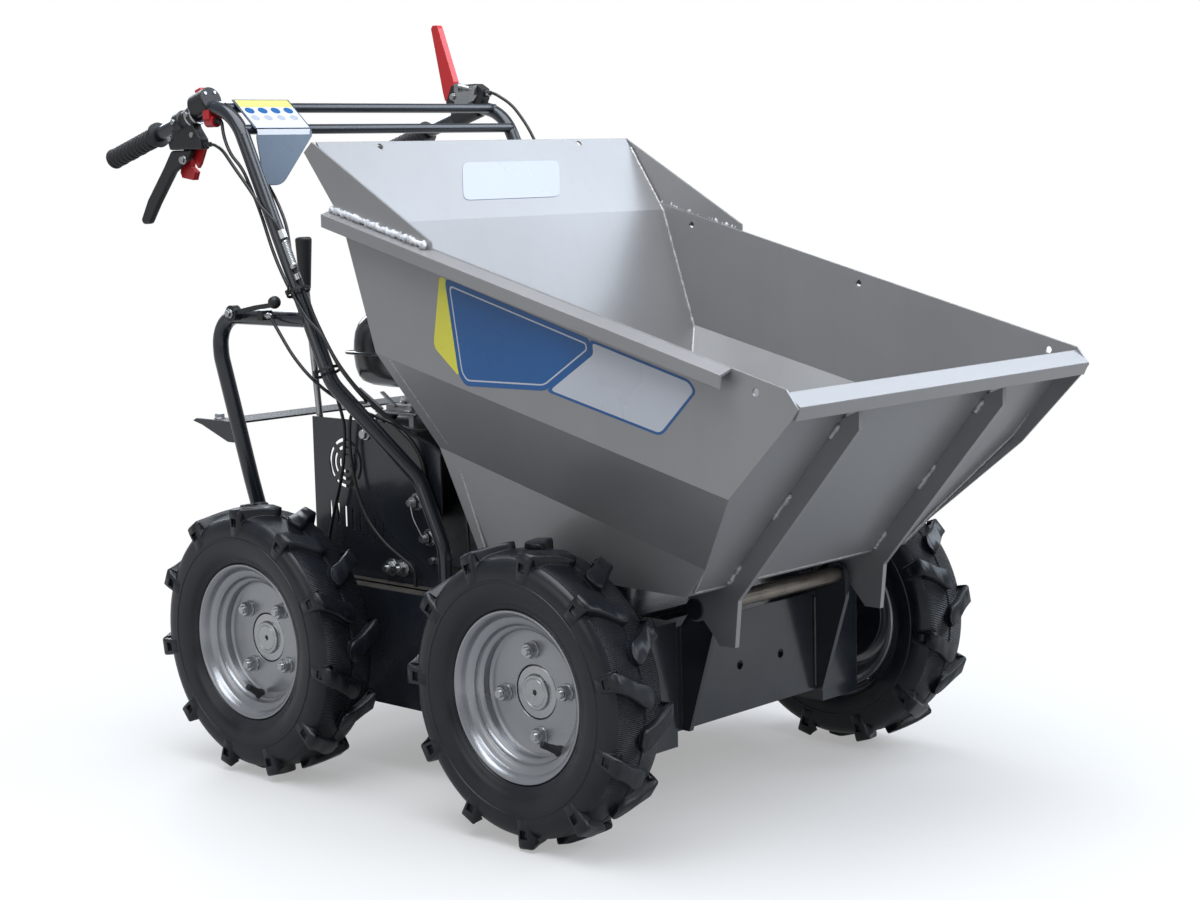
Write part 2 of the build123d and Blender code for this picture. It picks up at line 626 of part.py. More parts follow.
# ---- controls ----
def along_grip(side, distance, up=0.0):
    """A point on the handle tube's straight rear run, this far from the upper bend's corner."""
    a = radians(BAR_SLOPE)
    x = BAR_TOP[0] - distance * cos(a) - up * sin(a)
    z = BAR_TOP[1] - distance * sin(a) + up * cos(a)
    return (x, side * BAR_Y, z)


def band(side, middle, length, radius, up=0.0):
    """A round clamp on the handle tube's rear run."""
    return rod(along_grip(side, middle + length / 2, up), along_grip(side, middle - length / 2, up), radius)


def make_right_clamp(bars):
    """The clamp and the lever's housing that hangs from it."""
    shape = band(-1, CLAMP_AT, CLAMP_LEN, CLAMP_R)
    housing = slab_xz([
        (-528, 941), (-521, 950), (-505, 958), (-466, 968), (-449, 950), (-449, 918), (-530, 918),
    ], -BAR_Y - HOUSING_T / 2, -BAR_Y + HOUSING_T / 2)
    return shape + housing - bars


def make_brake_lever():
    outline = [
        (-531, 918), (-552, 892), (-597, 843), (-617, 812), (-612, 805), (-596, 806), (-572, 836), (-528, 884),
        (-506, 896), (-488, 904), (-480, 918),
    ]
    shape = slab_xz(outline, -BAR_Y - LEVER_T / 2, -BAR_Y + LEVER_T / 2)
    edges = shape.edges().filter_by(Axis.Y)
    return fillet(edges, 3)


def make_latch_lever():
    """The red catch that holds the lever pulled in, on the housing's inner face."""
    y = -BAR_Y + HOUSING_T / 2
    shape = slab_xz([(-516, 922), (-528, 884), (-524, 876), (-497, 872), (-491, 884), (-503, 892), (-497, 922)],
                    y, y + LATCH_T)
    shape = shape + slab_xz([(-497, 906), (-483, 890), (-477, 896), (-462, 922), (-497, 922)], y, y + LATCH_T / 2)
    return shape


def make_switch_box(bars):
    shape = band(-1, SWITCH_AT, SWITCH_LEN, SWITCH_R, SWITCH_UP)
    return shape - bars


def make_switch_knobs(switch, bars):
    """The red rocker on top of the switch box and the red knob under it."""
    top = Pos(*along_grip(-1, SWITCH_AT + 4, SWITCH_UP + SWITCH_R)) * Rot(0, -BAR_SLOPE, 0) * Box(14, 8, 8)
    knob = rod((-440, -BAR_Y, 959), (-420, -BAR_Y, 959), 9)
    neck = block(-438, -423, -BAR_Y - 12, -BAR_Y + 12, 962, 976)
    return (top + knob + neck) - switch - bars


def make_left_bracket(bars):
    shape = band(1, CLAMP_AT - 28, CLAMP_LEN, CLAMP_R)
    perch = slab_xz([(-503, 975), (-506, 992), (-492, 1019), (-434, 1020), (-418, 1011), (-418, 996), (-424, 985), (-470, 968)],
                    BAR_Y - HOUSING_T / 2, BAR_Y + HOUSING_T / 2)
    return shape + perch - bars


def make_left_lever(bracket):
    outline = [
        (-541, 1117), (-537, 1122), (-528, 1122), (-524, 1117), (-489, 1026), (-488, 1004), (-502, 990),
        (-512, 995), (-516, 1008),
    ]
    shape = slab_xz(outline, BAR_Y - LEVER_T / 2, BAR_Y + LEVER_T / 2)
    return shape - bracket


def make_throttle_lever():
    y = -BAR_Y - STAY_R - LEVER_T / 2 - SEAT_GAP
    shape = rod_y(-376, STAY_Z + 6, 12, y - LEVER_T / 2, y + LEVER_T / 2)
    shape = shape + strap_xz([(-376, STAY_Z + 6), (-320, STAY_Z + 16), (-280, STAY_Z + 21)], 7, y - 4, y)
    return shape + Pos(-276, y - 2, STAY_Z + 25) * Sphere(9.5)


def make_cable_stop(stay):
    """The clip on the stay that the throttle cable comes out of."""
    shape = block(-312, -300, -BAR_Y - 25, -BAR_Y - 6, STAY_Z - 2, STAY_Z + 12)
    return shape - stay


def make_gear_lever():
    foot = (-319, -150, BOX_TOP)
    neck = (-331, -178, 513)
    shape = Pos(foot[0], foot[1], BOX_TOP + 7) * Cylinder(9, 14)
    shape = shape + rod((foot[0], foot[1], BOX_TOP + 8), neck, 5)
    shape = shape + rod(neck, (GEAR_KNOB[0] + 2, GEAR_KNOB[1], GEAR_KNOB[2]), 5)
    return shape


def make_gear_knob():
    knob = Pos(GEAR_KNOB[0], GEAR_KNOB[1], GEAR_KNOB[2] + GEAR_KNOB_H / 2) * Cone(8.5, 13, GEAR_KNOB_H)
    return fillet(knob.faces().sort_by(Axis.Z)[-1].edges(), 5)


# ---- cables, each held by the machine all along ----
def arc_radii(points):
    """The largest arcs that fit between a cable's straight runs."""
    radii = []
    vectors = [Vector(*p) for p in points]
    for before, corner, after in zip(vectors, vectors[1:], vectors[2:]):
        run_in = corner - before
        run_out = after - corner
        turn = radians(run_in.get_angle(run_out))
        radii.append(0.45 * min(run_in.length, run_out.length) / tan(turn / 2))
    return radii


def make_cable(name, points, radius=CABLE_R):
    radii = arc_radii(points)
    print(name, "arc radii", [round(r) for r in radii])
    return tube(points, radii, radius)


def by_bar(side, part, forward, outward):
    """A point beside the handle tube's straight run, part of the way down from its upper bend."""
    run_x = BAR_KNEE[0] - BAR_TOP[0]
    run_z = BAR_KNEE[1] - BAR_TOP[1]
    length = hypot(run_x, run_z)
    x = BAR_TOP[0] + part * run_x - forward * run_z / length
    z = BAR_TOP[1] + part * run_z + forward * run_x / length
    return (x, side * (BAR_Y + outward), z)


CABLES = {
    # From the lever housing down the right-hand tube, then outside the side panel to the chain case.
    "cable_clutch": [
        (-449, -280, 925), (-430, -280, 925), (-396, -290, 916), (-363, -296.5, 891),
        by_bar(-1, 0.31, -9, 16.5), by_bar(-1, 0.39, 1, 15), by_bar(-1, 0.43, 9, 12.5),
        by_bar(-1, 0.48, 13.5, 6), by_bar(-1, 0.66, 14, 4.5), by_bar(-1, 0.78, 17, 4), (-186, -286, 646),
        (-156, -284, 602), (-134, -268, 566), (-146, -240, 548), (-192, -221, 543), (-220, -213, 518),
        (-224, -212, 470), (-213, -211, 410), (-189, -212, 366), (-150, -212, 334), (-112, -212, 316),
        (-88, -212, 304), (-88, -212, BOX_TOP),
    ],
    # From the red knob, beside the first, to the chain case in front of the engine.
    "cable_drive": [
        (-420, -280, 959), (-408, -280, 959), (-396, -287, 937), (-376, -292, 910),
        by_bar(-1, 0.24, -14, 10), by_bar(-1, 0.38, -14.5, 5), by_bar(-1, 0.55, -12, 11),
        by_bar(-1, 0.68, 0, 16), by_bar(-1, 0.80, 14, 14), (-180, -293, 650), (-150, -294, 612),
        (-120, -284, 574), (-94, -262, 540), (-68, -234, 508), (-36, -212, 488), (-8, -200, 460),
        (4, -194, 410), (6, -192, 350), (6, -192, BOX_TOP),
    ],
    # From beside the knob, under the label plate, inside the stay and outside the side panel.
    "cable_stop": [
        (-429, -268, 968), (-429, -254, 968), (-420, -243, 948), (-396, -240, 912), (-366, -238, 874),
        (-337, -238, 838), (-313, -242, 804), (-297, -250, 770), (-284, -258, 738),
        by_bar(-1, 0.70, -14, -19), by_bar(-1, 0.80, -12, -20), by_bar(-1, 0.91, -14, -21),
        (-222, -244, 574), (-230, -226, 546), (-231, -213, 505), (-241, -211, 438), (-264, -212, 375),
        (-280, -212, 330), (-280, -212, BOX_TOP),
    ],
    # From its stop on the stay to the air cleaner's side.
    "cable_throttle": [
        (-300, -299, 673), (-290, -299, 673), (-266, -301, 648), (-238, -301, 616), (-208, -297, 588),
        (-186, -282, 564), (-168, -254, 541), (-140, -230, 526), (-104, -216, 513), (-78, -204, 506),
        (-64, -180, 507), (-62, -154, 530), (-64, -138, 546), (-64, ENGINE_RIGHT - 50, 546),
    ],
    # From the left lever's bracket down the left-hand tube and outside the left side panel.
    "cable_left": [
        (-418, 280, 1004), (-400, 280, 1004), (-366, 289, 984), (-334, 294, 946), (-300, 295, 890),
        (-256, 294, 806), (-206, 294.5, 712), (-168, 294, 640), (-138, 289, 586), (-118, 280, 545),
        (-103, 262, 500), (-96, 236, 440), (-93, 216, 380), (-92, 212, 322), (-92, 212, BOX_TOP),
    ],
}


# ---- skip ----
def side_planes(inset):
    """The left side's upright, flared and lower facets as (point, outward normal), moved in."""
    drop = CREASE_UP_Z - CREASE_LOW_Z
    lean = SKIP_HALF_W - CREASE_LOW_Y
    up_run = Vector(1, 0, CREASE_UP_SLOPE)
    flared = up_run.cross(Vector(0, -lean, -drop)).normalized()
    low_run = Vector(1, -lean * (CREASE_UP_SLOPE - CREASE_LOW_SLOPE) / drop, CREASE_LOW_SLOPE)
    lower = low_run.cross(Vector(0, FLOOR_EDGE_Y - CREASE_LOW_Y, FLOOR_Z - CREASE_LOW_Z)).normalized()
    upper_point = Vector(CREASE_X, SKIP_HALF_W, CREASE_UP_Z)
    lower_point = Vector(CREASE_X, CREASE_LOW_Y, CREASE_LOW_Z)
    facets = ((upper_point, Vector(0, 1, 0)), (upper_point, flared), (lower_point, lower))
    return [(point - normal * inset, normal) for point, normal in facets]


def within_sides(shape, inset):
    """Trims a shape to lie inside both sides' faces moved in by inset."""
    upright, flared, lower = side_planes(inset)
    for side in (-1, 1):
        kept = []
        for point, normal in (upright, flared, lower):
            at = (point.X, side * point.Y, point.Z)
            out = (normal.X, side * normal.Y, normal.Z)
            if not kept:
                shape = keep_below(shape, at, out)
            kept.append((at, out))
        # The lower crease turns outward, so inside it is inside either facet.
        shape = keep_below(shape, *kept[1]) + keep_below(shape, *kept[2])
    return shape


def rim_z(x):
    return RIM_Z0 + RIM_SLOPE * x


def side_outline():
    top_x = (SIDE_REAR_X + SIDE_REAR_SLOPE * (RIM_Z0 - FLOOR_Z)) / (1 - SIDE_REAR_SLOPE * RIM_SLOPE)
    lip_top_x = LIP_FRONT[0] - 18
    return [
        (top_x, rim_z(top_x)), (SIDE_REAR_X, FLOOR_Z), (SIDE_FRONT_X, FLOOR_Z), LIP_BOTTOM, LIP_FRONT,
        (lip_top_x, rim_z(lip_top_x)),
    ]


def make_skip_side(side):
    outline = side_outline()
    blank = slab_xz(outline, CREASE_LOW_Y - 50, SKIP_HALF_W + 10)
    outer = within_sides(blank, 0)
    sheet = outer - within_sides(blank, SHEET)
    # Flange: folded out and down along the top edge.
    edge = [
        (SKIP_HALF_W - SHEET, 0), (SKIP_HALF_W + FLANGE_OUT, -FLANGE_DROP),
        (SKIP_HALF_W + FLANGE_OUT, -FLANGE_DROP - FLANGE_DOWN),
        (SKIP_HALF_W + FLANGE_OUT - SHEET, -FLANGE_DROP - FLANGE_DOWN),
        (SKIP_HALF_W + FLANGE_OUT - SHEET, -FLANGE_DROP - SHEET), (SKIP_HALF_W - SHEET, -SHEET),
    ]
    start = Polyline(*[(FLANGE_REAR, y, rim_z(FLANGE_REAR) + z) for y, z in edge], close=True)
    length = FLANGE_FRONT - FLANGE_REAR
    flange = extrude(make_face(start), amount=hypot(length, RIM_SLOPE * length), dir=(1, 0, RIM_SLOPE))
    sheet = sheet + flange
    for x in (FRONT_HOLE_X,) if side < 0 else (FRONT_HOLE_X,) + LEFT_HOLES_X:
        z = rim_z(x) - SIDE_HOLE_DROP
        sheet = sheet - rod_y(x, z, HOLE_R, SKIP_HALF_W - 2 * SHEET, SKIP_HALF_W + FLANGE_OUT + SHEET)
    return sheet if side > 0 else mirror(sheet, about=Plane.XZ)


def front_panel_slope():
    return atan2(LIP_BACK[1] - FLOOR_Z, LIP_BACK[0] - SIDE_FRONT_X)


def make_skip_front():
    a = front_panel_slope()
    n = (-sin(a) * SHEET, cos(a) * SHEET)
    b = atan2(LIP_FRONT[1] - LIP_BACK[1], LIP_FRONT[0] - LIP_BACK[0])
    up = (-sin(b) * SHEET, cos(b) * SHEET)
    outline = [
        (SIDE_FRONT_X, FLOOR_Z), LIP_BACK, (LIP_FRONT[0] - 2, LIP_FRONT[1] - 2), LIP_BOTTOM,
        (LIP_BOTTOM[0] + 3, LIP_BOTTOM[1] - 1.5), LIP_FRONT,
        (LIP_FRONT[0] + up[0] - 1, LIP_FRONT[1] + up[1]), (LIP_BACK[0] + up[0] - 1, LIP_BACK[1] + up[1] + 1),
        (SIDE_FRONT_X + n[0] * 1.7, FLOOR_Z),
    ]
    return within_sides(slab_xz(outline, -SKIP_HALF_W, SKIP_HALF_W), SHEET)


def back_x(z):
    return BACK_X + BACK_SLOPE * (z - BACK_Z)


def make_skip_floor():
    a = front_panel_slope()
    front = SIDE_FRONT_X - sin(a) * SHEET * 1.7
    outline = [
        (back_x(FLOOR_Z), FLOOR_Z), (front, FLOOR_Z), (front + SHEET / tan(a) * 0.99, FLOOR_Z + SHEET),
        (back_x(FLOOR_Z), FLOOR_Z + SHEET),
    ]
    return within_sides(slab_xz(outline, -SKIP_HALF_W, SKIP_HALF_W), SHEET)


def make_skip_back():
    t = SHEET * hypot(1, BACK_SLOPE)
    top_slope = (BACK_TOP[0] - back_x(BACK_CREASE_Z)) / (BACK_TOP[1] - BACK_CREASE_Z)
    s = SHEET * hypot(1, top_slope)
    outline = [
        (back_x(FLOOR_Z + SHEET), FLOOR_Z + SHEET), (back_x(BACK_CREASE_Z), BACK_CREASE_Z), BACK_TOP,
        (BACK_TOP[0] + s, BACK_TOP[1]), (back_x(BACK_CREASE_Z) + t, BACK_CREASE_Z),
        (back_x(FLOOR_Z + SHEET) + t, FLOOR_Z + SHEET),
    ]
    shape = within_sides(slab_xz(outline, -SKIP_HALF_W, SKIP_HALF_W), SHEET)
    for x, y, z in BACK_HOLES:
        through = Vector(1, 0, -top_slope).normalized() * 4 * SHEET
        middle = Vector(x, y, z)
        shape = shape - rod(tuple(middle - through), tuple(middle + through), HOLE_R)
    return shape


def make_skip_wings(sides):
    outline = [
        BACK_TOP, WING_REAR, (-92.8, rim_z(-92.8) - SHEET),
        (WING_TIP[0], rim_z(WING_TIP[0]) - SHEET), WING_TIP,
    ]
    wing = slab_xz(outline, SKIP_HALF_W + WING_STEP, SKIP_HALF_W + WING_STEP + SHEET)
    return both_sides(wing) - sides


def make_skip_ribs():
    a = front_panel_slope()
    top = (SIDE_FRONT_X + (RIB_TOP[1] - 11 - FLOOR_Z) / tan(a), RIB_TOP[1] - 11)
    outline = [
        (SIDE_FRONT_X, FLOOR_Z), top, RIB_TOP, RIB_TOP_LOWER, RIB_KINK, RIB_FOOT,
        (RIB_FOOT_REAR_X + 10, RIB_FOOT[1]), (RIB_FOOT_REAR_X, RIB_FOOT[1] + 12), (TIP_X + 12, TIP_Z - 12),
        (TIP_X, TIP_Z), (RIB_HEEL_X, FLOOR_Z - 10), (RIB_HEEL_X, FLOOR_Z),
    ]
    rib = slab_xz(outline, RIB_IN, RIB_IN + RIB_T)
    rib = rib + rod_y(TIP_X, TIP_Z, LOBE_R, RIB_IN, RIB_IN + RIB_T)
    rib = rib - rod_y(TIP_X, TIP_Z, TIP_SHAFT_R + BEARING_CLEAR, RIB_IN - 1, RIB_IN + RIB_T + 1)
    return both_sides(rib)


# ---- build ----
make_wheels()
for side_name, side in (("right", -1), ("left", 1)):
    save(make_side_box(side), f"chain_case_{side_name}")
    save(make_side_panel(side), f"side_panel_{side_name}")
    save(make_skip_side(side), f"skip_side_{side_name}")
save(make_front_plate(), "front_plate")
save(make_tip_shaft(), "tip_shaft")
save(make_deck(), "engine_deck")
save(make_gearbox(), "gearbox")
save(make_engine_block(), "engine_block")
save(make_recoil_cover(), "recoil_cover")
save(make_fuel_tank(), "fuel_tank")
save(make_air_cleaner(), "air_cleaner")
save(make_silencer(), "silencer")
save(make_belt_cover(), "belt_cover")

right_bar = make_handle_tube(-1)
left_bar = make_handle_tube(1)
bars = right_bar + left_bar
right_stay = make_stay(-1, right_bar)
left_stay = make_stay(1, left_bar)
save(right_bar, "handle_tube_right")
save(left_bar, "handle_tube_left")
save(right_stay, "stay_right")
save(left_stay, "stay_left")
save(make_cross_bars(bars), "cross_bars")
save(make_rear_shelf(right_stay + left_stay), "rear_shelf")
save(make_label_plate(), "label_plate")
save(make_grips(bars), "grips")
save(make_right_clamp(bars), "right_clamp")
save(make_brake_lever(), "brake_lever")
save(make_latch_lever(), "latch_lever")
switch = make_switch_box(bars)
save(switch, "switch_box")
save(make_switch_knobs(switch, bars), "switch_knobs")
left_bracket = make_left_bracket(bars)
save(left_bracket, "left_bracket")
save(make_left_lever(left_bracket), "left_lever")
save(make_throttle_lever(), "throttle_lever")
save(make_cable_stop(right_stay), "throttle_stop")
save(make_gear_lever(), "gear_lever")
save(make_gear_knob() - make_gear_lever(), "gear_knob")
for cable_name, cable_points in CABLES.items():
    save(make_cable(cable_name, cable_points), cable_name)

save(make_skip_front(), "skip_front")
save(make_skip_floor(), "skip_floor")
save(make_skip_back(), "skip_back")
save(make_skip_wings(make_skip_side(-1) + make_skip_side(1)), "skip_wings")
save(make_skip_ribs(), "skip_ribs")
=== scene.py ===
import json
import random
from math import atan2, cos, pi, radians, sin

import bmesh
import bpy
from mathutils import Matrix, Vector


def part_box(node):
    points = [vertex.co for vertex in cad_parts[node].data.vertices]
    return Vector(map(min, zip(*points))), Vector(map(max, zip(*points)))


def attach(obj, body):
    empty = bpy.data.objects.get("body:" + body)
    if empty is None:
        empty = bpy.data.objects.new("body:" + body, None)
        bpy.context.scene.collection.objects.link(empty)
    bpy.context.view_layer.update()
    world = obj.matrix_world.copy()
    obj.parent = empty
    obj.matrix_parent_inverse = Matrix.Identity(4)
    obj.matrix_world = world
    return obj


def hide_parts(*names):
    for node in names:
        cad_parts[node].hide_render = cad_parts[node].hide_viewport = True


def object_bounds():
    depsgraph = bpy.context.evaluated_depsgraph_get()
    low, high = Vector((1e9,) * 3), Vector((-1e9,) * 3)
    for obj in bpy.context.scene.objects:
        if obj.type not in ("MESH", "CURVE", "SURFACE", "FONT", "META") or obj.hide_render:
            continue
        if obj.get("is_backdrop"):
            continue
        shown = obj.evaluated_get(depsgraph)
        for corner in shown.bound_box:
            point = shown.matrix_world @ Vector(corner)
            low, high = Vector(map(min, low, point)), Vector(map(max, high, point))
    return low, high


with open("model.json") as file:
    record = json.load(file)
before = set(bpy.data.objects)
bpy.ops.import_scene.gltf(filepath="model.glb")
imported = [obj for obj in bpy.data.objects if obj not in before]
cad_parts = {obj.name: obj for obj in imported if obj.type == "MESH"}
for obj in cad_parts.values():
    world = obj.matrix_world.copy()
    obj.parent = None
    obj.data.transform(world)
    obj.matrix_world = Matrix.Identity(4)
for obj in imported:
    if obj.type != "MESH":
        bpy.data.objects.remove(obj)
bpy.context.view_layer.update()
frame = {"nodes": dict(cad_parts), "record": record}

random.seed(7)

# Places are in millimetres from the point midway between the axles, as the machine is dimensioned.
ORIGIN_X = 6.944859
WHEEL_R = 200.0
WHEEL_Y = 337.0
AXLE_X = 278.0
SIDES = (("right", -1), ("left", 1))
UPWARD = (0, 0, 1)


def at(x, y, z):
    return Vector(((x - ORIGIN_X) / 1000, y / 1000, z / 1000))


# ---- materials ----
ROUGH_SPREAD = 0.08
COAT_ROUGHNESS = 0.12
DUST = (0.32, 0.29, 0.25)
DUST_HEIGHTS = (0.32, 0.02)


def feed(tree, node, inputs):
    """Sets the node's sockets to numbers or colours, or links them to other nodes' outputs."""
    for key, value in inputs.items():
        socket = node.inputs[key]
        if isinstance(value, bpy.types.NodeSocket):
            tree.links.new(value, socket)
        elif isinstance(value, tuple) and len(value) < len(socket.default_value):
            socket.default_value = (*value, 1)
        else:
            socket.default_value = value


def new_node(tree, kind, inputs=None, **settings):
    made = tree.nodes.new("ShaderNode" + kind)
    for key, value in settings.items():
        setattr(made, key, value)
    feed(tree, made, inputs or {})
    return made


def noise(tree, coords, scale, detail):
    inputs = {"Scale": scale, "Detail": detail, "Roughness": 0.55, "Vector": coords}
    return new_node(tree, "TexNoise", inputs).outputs["Fac"]


def span(tree, value, low, high, to_low, to_high, **settings):
    inputs = {"Value": value, "From Min": low, "From Max": high, "To Min": to_low, "To Max": to_high}
    return new_node(tree, "MapRange", inputs, **settings).outputs["Result"]


def mixed(tree, factor, first, second):
    return new_node(tree, "Mix", {0: factor, 6: first, 7: second}, data_type="RGBA").outputs[2]


def maths(tree, kind, first, second):
    return new_node(tree, "Math", {0: first, 1: second}, operation=kind).outputs[0]


def surface(name, colour, rough, metallic=0.0, coat=0.0, mottle=0.12, mottle_scale=7.0, grain=0.1,
            grain_scale=700.0, edge=None, edge_amount=0.5, dust=0.0, bevel=1.2, grain_mm=0.25, streak=0.0):
    """A finish with cloudy variation, fine grain, softened and worn edges, and a little dust low down."""
    made = bpy.data.materials.new(name)
    made.use_nodes = True
    tree = made.node_tree
    shader = tree.nodes["Principled BSDF"]
    coords = new_node(tree, "TexCoord").outputs["Object"]
    cloud = noise(tree, coords, mottle_scale, 4.0)
    dark, light = (tuple(min(1.0, c * part) for c in colour) for part in (1 - mottle, 1 + mottle))
    tint = mixed(tree, span(tree, cloud, 0.3, 0.7, 0, 1), dark, light)
    if streak:
        stretched = new_node(tree, "Mapping", {"Vector": coords, "Scale": (1.0, 1.0, 0.08)}).outputs[0]
        runs = span(tree, noise(tree, stretched, 38.0, 3.0), 0.52, 0.8, 0, streak)
        tint = mixed(tree, runs, tint, tuple(c * 0.72 for c in colour))
    soft_edge = new_node(tree, "Bevel", {"Radius": bevel / 1000}, samples=4).outputs[0]
    if edge is not None:
        flat = new_node(tree, "NewGeometry").outputs["Normal"]
        same = new_node(tree, "VectorMath", {0: soft_edge, 1: flat}, operation="DOT_PRODUCT").outputs["Value"]
        worn = span(tree, same, 0.985, 0.88, 0, 1)
        patches = span(tree, noise(tree, coords, 60.0, 4.0), 0.42, 0.6, 0, edge_amount)
        tint = mixed(tree, maths(tree, "MULTIPLY", worn, patches), tint, edge)
    if dust:
        height = new_node(tree, "SeparateXYZ", {0: coords}).outputs["Z"]
        lying = span(tree, height, *DUST_HEIGHTS, 0, 1)
        patches = span(tree, noise(tree, coords, 16.0, 5.0), 0.4, 0.75, 0, dust)
        tint = mixed(tree, maths(tree, "MULTIPLY", lying, patches), tint, DUST)
    fine = noise(tree, coords, grain_scale, 2.0)
    bump = new_node(tree, "Bump", {"Strength": grain, "Distance": grain_mm / 1000, "Height": fine,
                                   "Normal": soft_edge})
    rough_at = span(tree, cloud, 0.25, 0.75, max(0.03, rough - ROUGH_SPREAD), min(1.0, rough + ROUGH_SPREAD))
    feed(tree, shader, {"Base Color": tint, "Roughness": rough_at, "Metallic": metallic, "Coat Weight": coat,
                        "Coat Roughness": COAT_ROUGHNESS, "Normal": bump.outputs[0]})
    return made


SKIP = surface("skip_paint", (0.345, 0.34, 0.345), 0.38, metallic=0.45, coat=0.15, mottle=0.05,
    mottle_scale=3.0, grain=0.25, grain_scale=1400.0, edge=(0.55, 0.54, 0.52), streak=0.10)
CHASSIS = surface("chassis_paint", (0.017, 0.021, 0.029), 0.25, coat=0.5, mottle=0.2, grain=0.12,
    grain_scale=900.0, edge=(0.12, 0.13, 0.14), edge_amount=0.4, dust=0.10)
RIM = surface("rim_paint", (0.40, 0.41, 0.43), 0.30, metallic=0.75, coat=0.2, mottle=0.06, grain=0.2,
    grain_scale=1500.0, edge=(0.7, 0.7, 0.7), dust=0.15, bevel=0.8)
ZINC = surface("zinc", (0.50, 0.51, 0.52), 0.27, metallic=1.0, mottle=0.07, mottle_scale=60.0, grain=0.3,
    grain_scale=900.0, bevel=0.6)
STEEL = surface("machined_steel", (0.50, 0.50, 0.50), 0.34, metallic=1.0, mottle=0.14, mottle_scale=40.0,
    grain=0.3, bevel=0.6)
# Steel tinted warm brown: the tint is a painted reflection of warm light on the tip tube.
STEEL_WARM_REFLECTION = surface("shaft_steel_painted_warm_reflection", (0.27, 0.235, 0.20), 0.32, metallic=0.9, mottle=0.2, mottle_scale=30.0,
    grain=0.3, bevel=0.6)
# Warm brown standing in for warm light reflected off the chain cases' ledges: a painted reflection.
LEDGE_WARM_REFLECTION = surface("ledge_painted_warm_reflection", (0.15, 0.135, 0.12), 0.42, metallic=0.2, coat=0.3, mottle=0.3,
    mottle_scale=18.0, grain=0.3)
RUBBER = surface("tyre_rubber", (0.0075, 0.0100, 0.0150), 0.32, mottle=0.35, mottle_scale=16.0, grain=0.30,
    grain_scale=600.0, edge=(0.03, 0.03, 0.034), dust=0.04, bevel=1.4)
TANK = surface("tank_paint", (0.010, 0.010, 0.012), 0.16, coat=0.8, mottle=0.2, grain=0.05, bevel=1.5)
PLASTIC = surface("black_plastic", (0.018, 0.018, 0.020), 0.42, mottle=0.15, grain=0.35, grain_scale=1600.0,
    edge=(0.07, 0.07, 0.07), bevel=1.0)
GRIP = surface("grip_rubber", (0.016, 0.016, 0.018), 0.55, mottle=0.2, grain=0.5, grain_scale=1200.0)
RED = surface("red_plastic", (0.62, 0.022, 0.026), 0.30, coat=0.3, mottle=0.06, grain=0.15,
    grain_scale=1300.0, edge=(0.75, 0.12, 0.10))
CABLE = surface("cable_sheath", (0.012, 0.012, 0.013), 0.33, mottle=0.2, grain=0.15, grain_scale=1600.0)
ALU = surface("cast_aluminium", (0.34, 0.34, 0.34), 0.48, metallic=0.8, mottle=0.14, mottle_scale=30.0,
    grain=0.6, grain_scale=500.0, grain_mm=0.4, dust=0.2, bevel=1.5)
HOT_STEEL = surface("silencer_steel", (0.30, 0.29, 0.28), 0.42, metallic=0.9, mottle=0.2, mottle_scale=20.0,
    grain=0.3, edge=(0.45, 0.42, 0.38), bevel=1.0)
WELD = surface("weld_bead", (0.50, 0.49, 0.48), 0.38, metallic=0.5, mottle=0.18, mottle_scale=90.0,
    grain=0.5, grain_scale=700.0, bevel=0.4)
CHALK = surface("rough_weld", (0.74, 0.75, 0.78), 0.5, metallic=0.2, mottle=0.25, mottle_scale=120.0,
    grain=0.6, grain_scale=500.0, bevel=0.4)
BRACKET = surface("zinc_bracket", (0.30, 0.31, 0.32), 0.40, metallic=0.6, mottle=0.12, mottle_scale=25.0,
    grain=0.3)
YELLOW, YELLOW_PALE, BLUE, WHITE, PALE = (
    surface(name + "_film", colour, rough, coat=0.4, mottle=mottle, grain=0.05, bevel=0.3)
    for name, colour, rough, mottle in (
        ("yellow", (0.86, 0.80, 0.08), 0.30, 0.04), ("pale_yellow", (0.66, 0.62, 0.20), 0.32, 0.05),
        ("blue", (0.006, 0.105, 0.33), 0.28, 0.10), ("white", (0.64, 0.66, 0.72), 0.30, 0.03),
        ("pale", (0.42, 0.44, 0.54), 0.28, 0.06)))
PLATE = surface("label_metal", (0.075, 0.105, 0.15), 0.30, metallic=0.3, coat=0.4, mottle=0.1, grain=0.12,
    edge=(0.3, 0.33, 0.36), bevel=0.8)


def tread_finish():
    """Rubber with the fine ribs that run across the tread between the lugs."""
    made = RUBBER.copy()
    made.name = "tyre_tread"
    tree = made.node_tree
    bump = next(n for n in tree.nodes if n.type == "BUMP")
    coords = new_node(tree, "UVMap").outputs[0]
    wave = new_node(tree, "TexWave", {"Scale": 1.0, "Distortion": 0.0, "Vector": coords})
    ribs = new_node(tree, "Bump", {"Strength": 0.9, "Distance": 0.0012, "Height": wave.outputs["Fac"],
                                   "Normal": bump.inputs["Normal"].links[0].from_socket})
    feed(tree, bump, {"Normal": ribs.outputs[0]})
    return made


TREAD = tread_finish()

SLOT_FINISH = {
    "chassis_paint": CHASSIS, "steel": STEEL, "engine_metal": ALU, "black_plastic": PLASTIC,
    "tank_paint": TANK, "silencer_steel": HOT_STEEL, "grip_rubber": GRIP, "red_plastic": RED,
    "tyre": RUBBER, "rim_paint": RIM, "skip_paint": SKIP,
}
NODE_FINISH = {"tip_shaft": CHASSIS, "label_plate": PLATE}
for row in frame["record"]["subparts"]:
    name = row["node"]
    finish = CABLE if name.startswith("cable_") else NODE_FINISH.get(name, SLOT_FINISH[row["material_slot"]])
    materials = frame["nodes"][name].data.materials
    materials.clear()
    materials.append(finish)


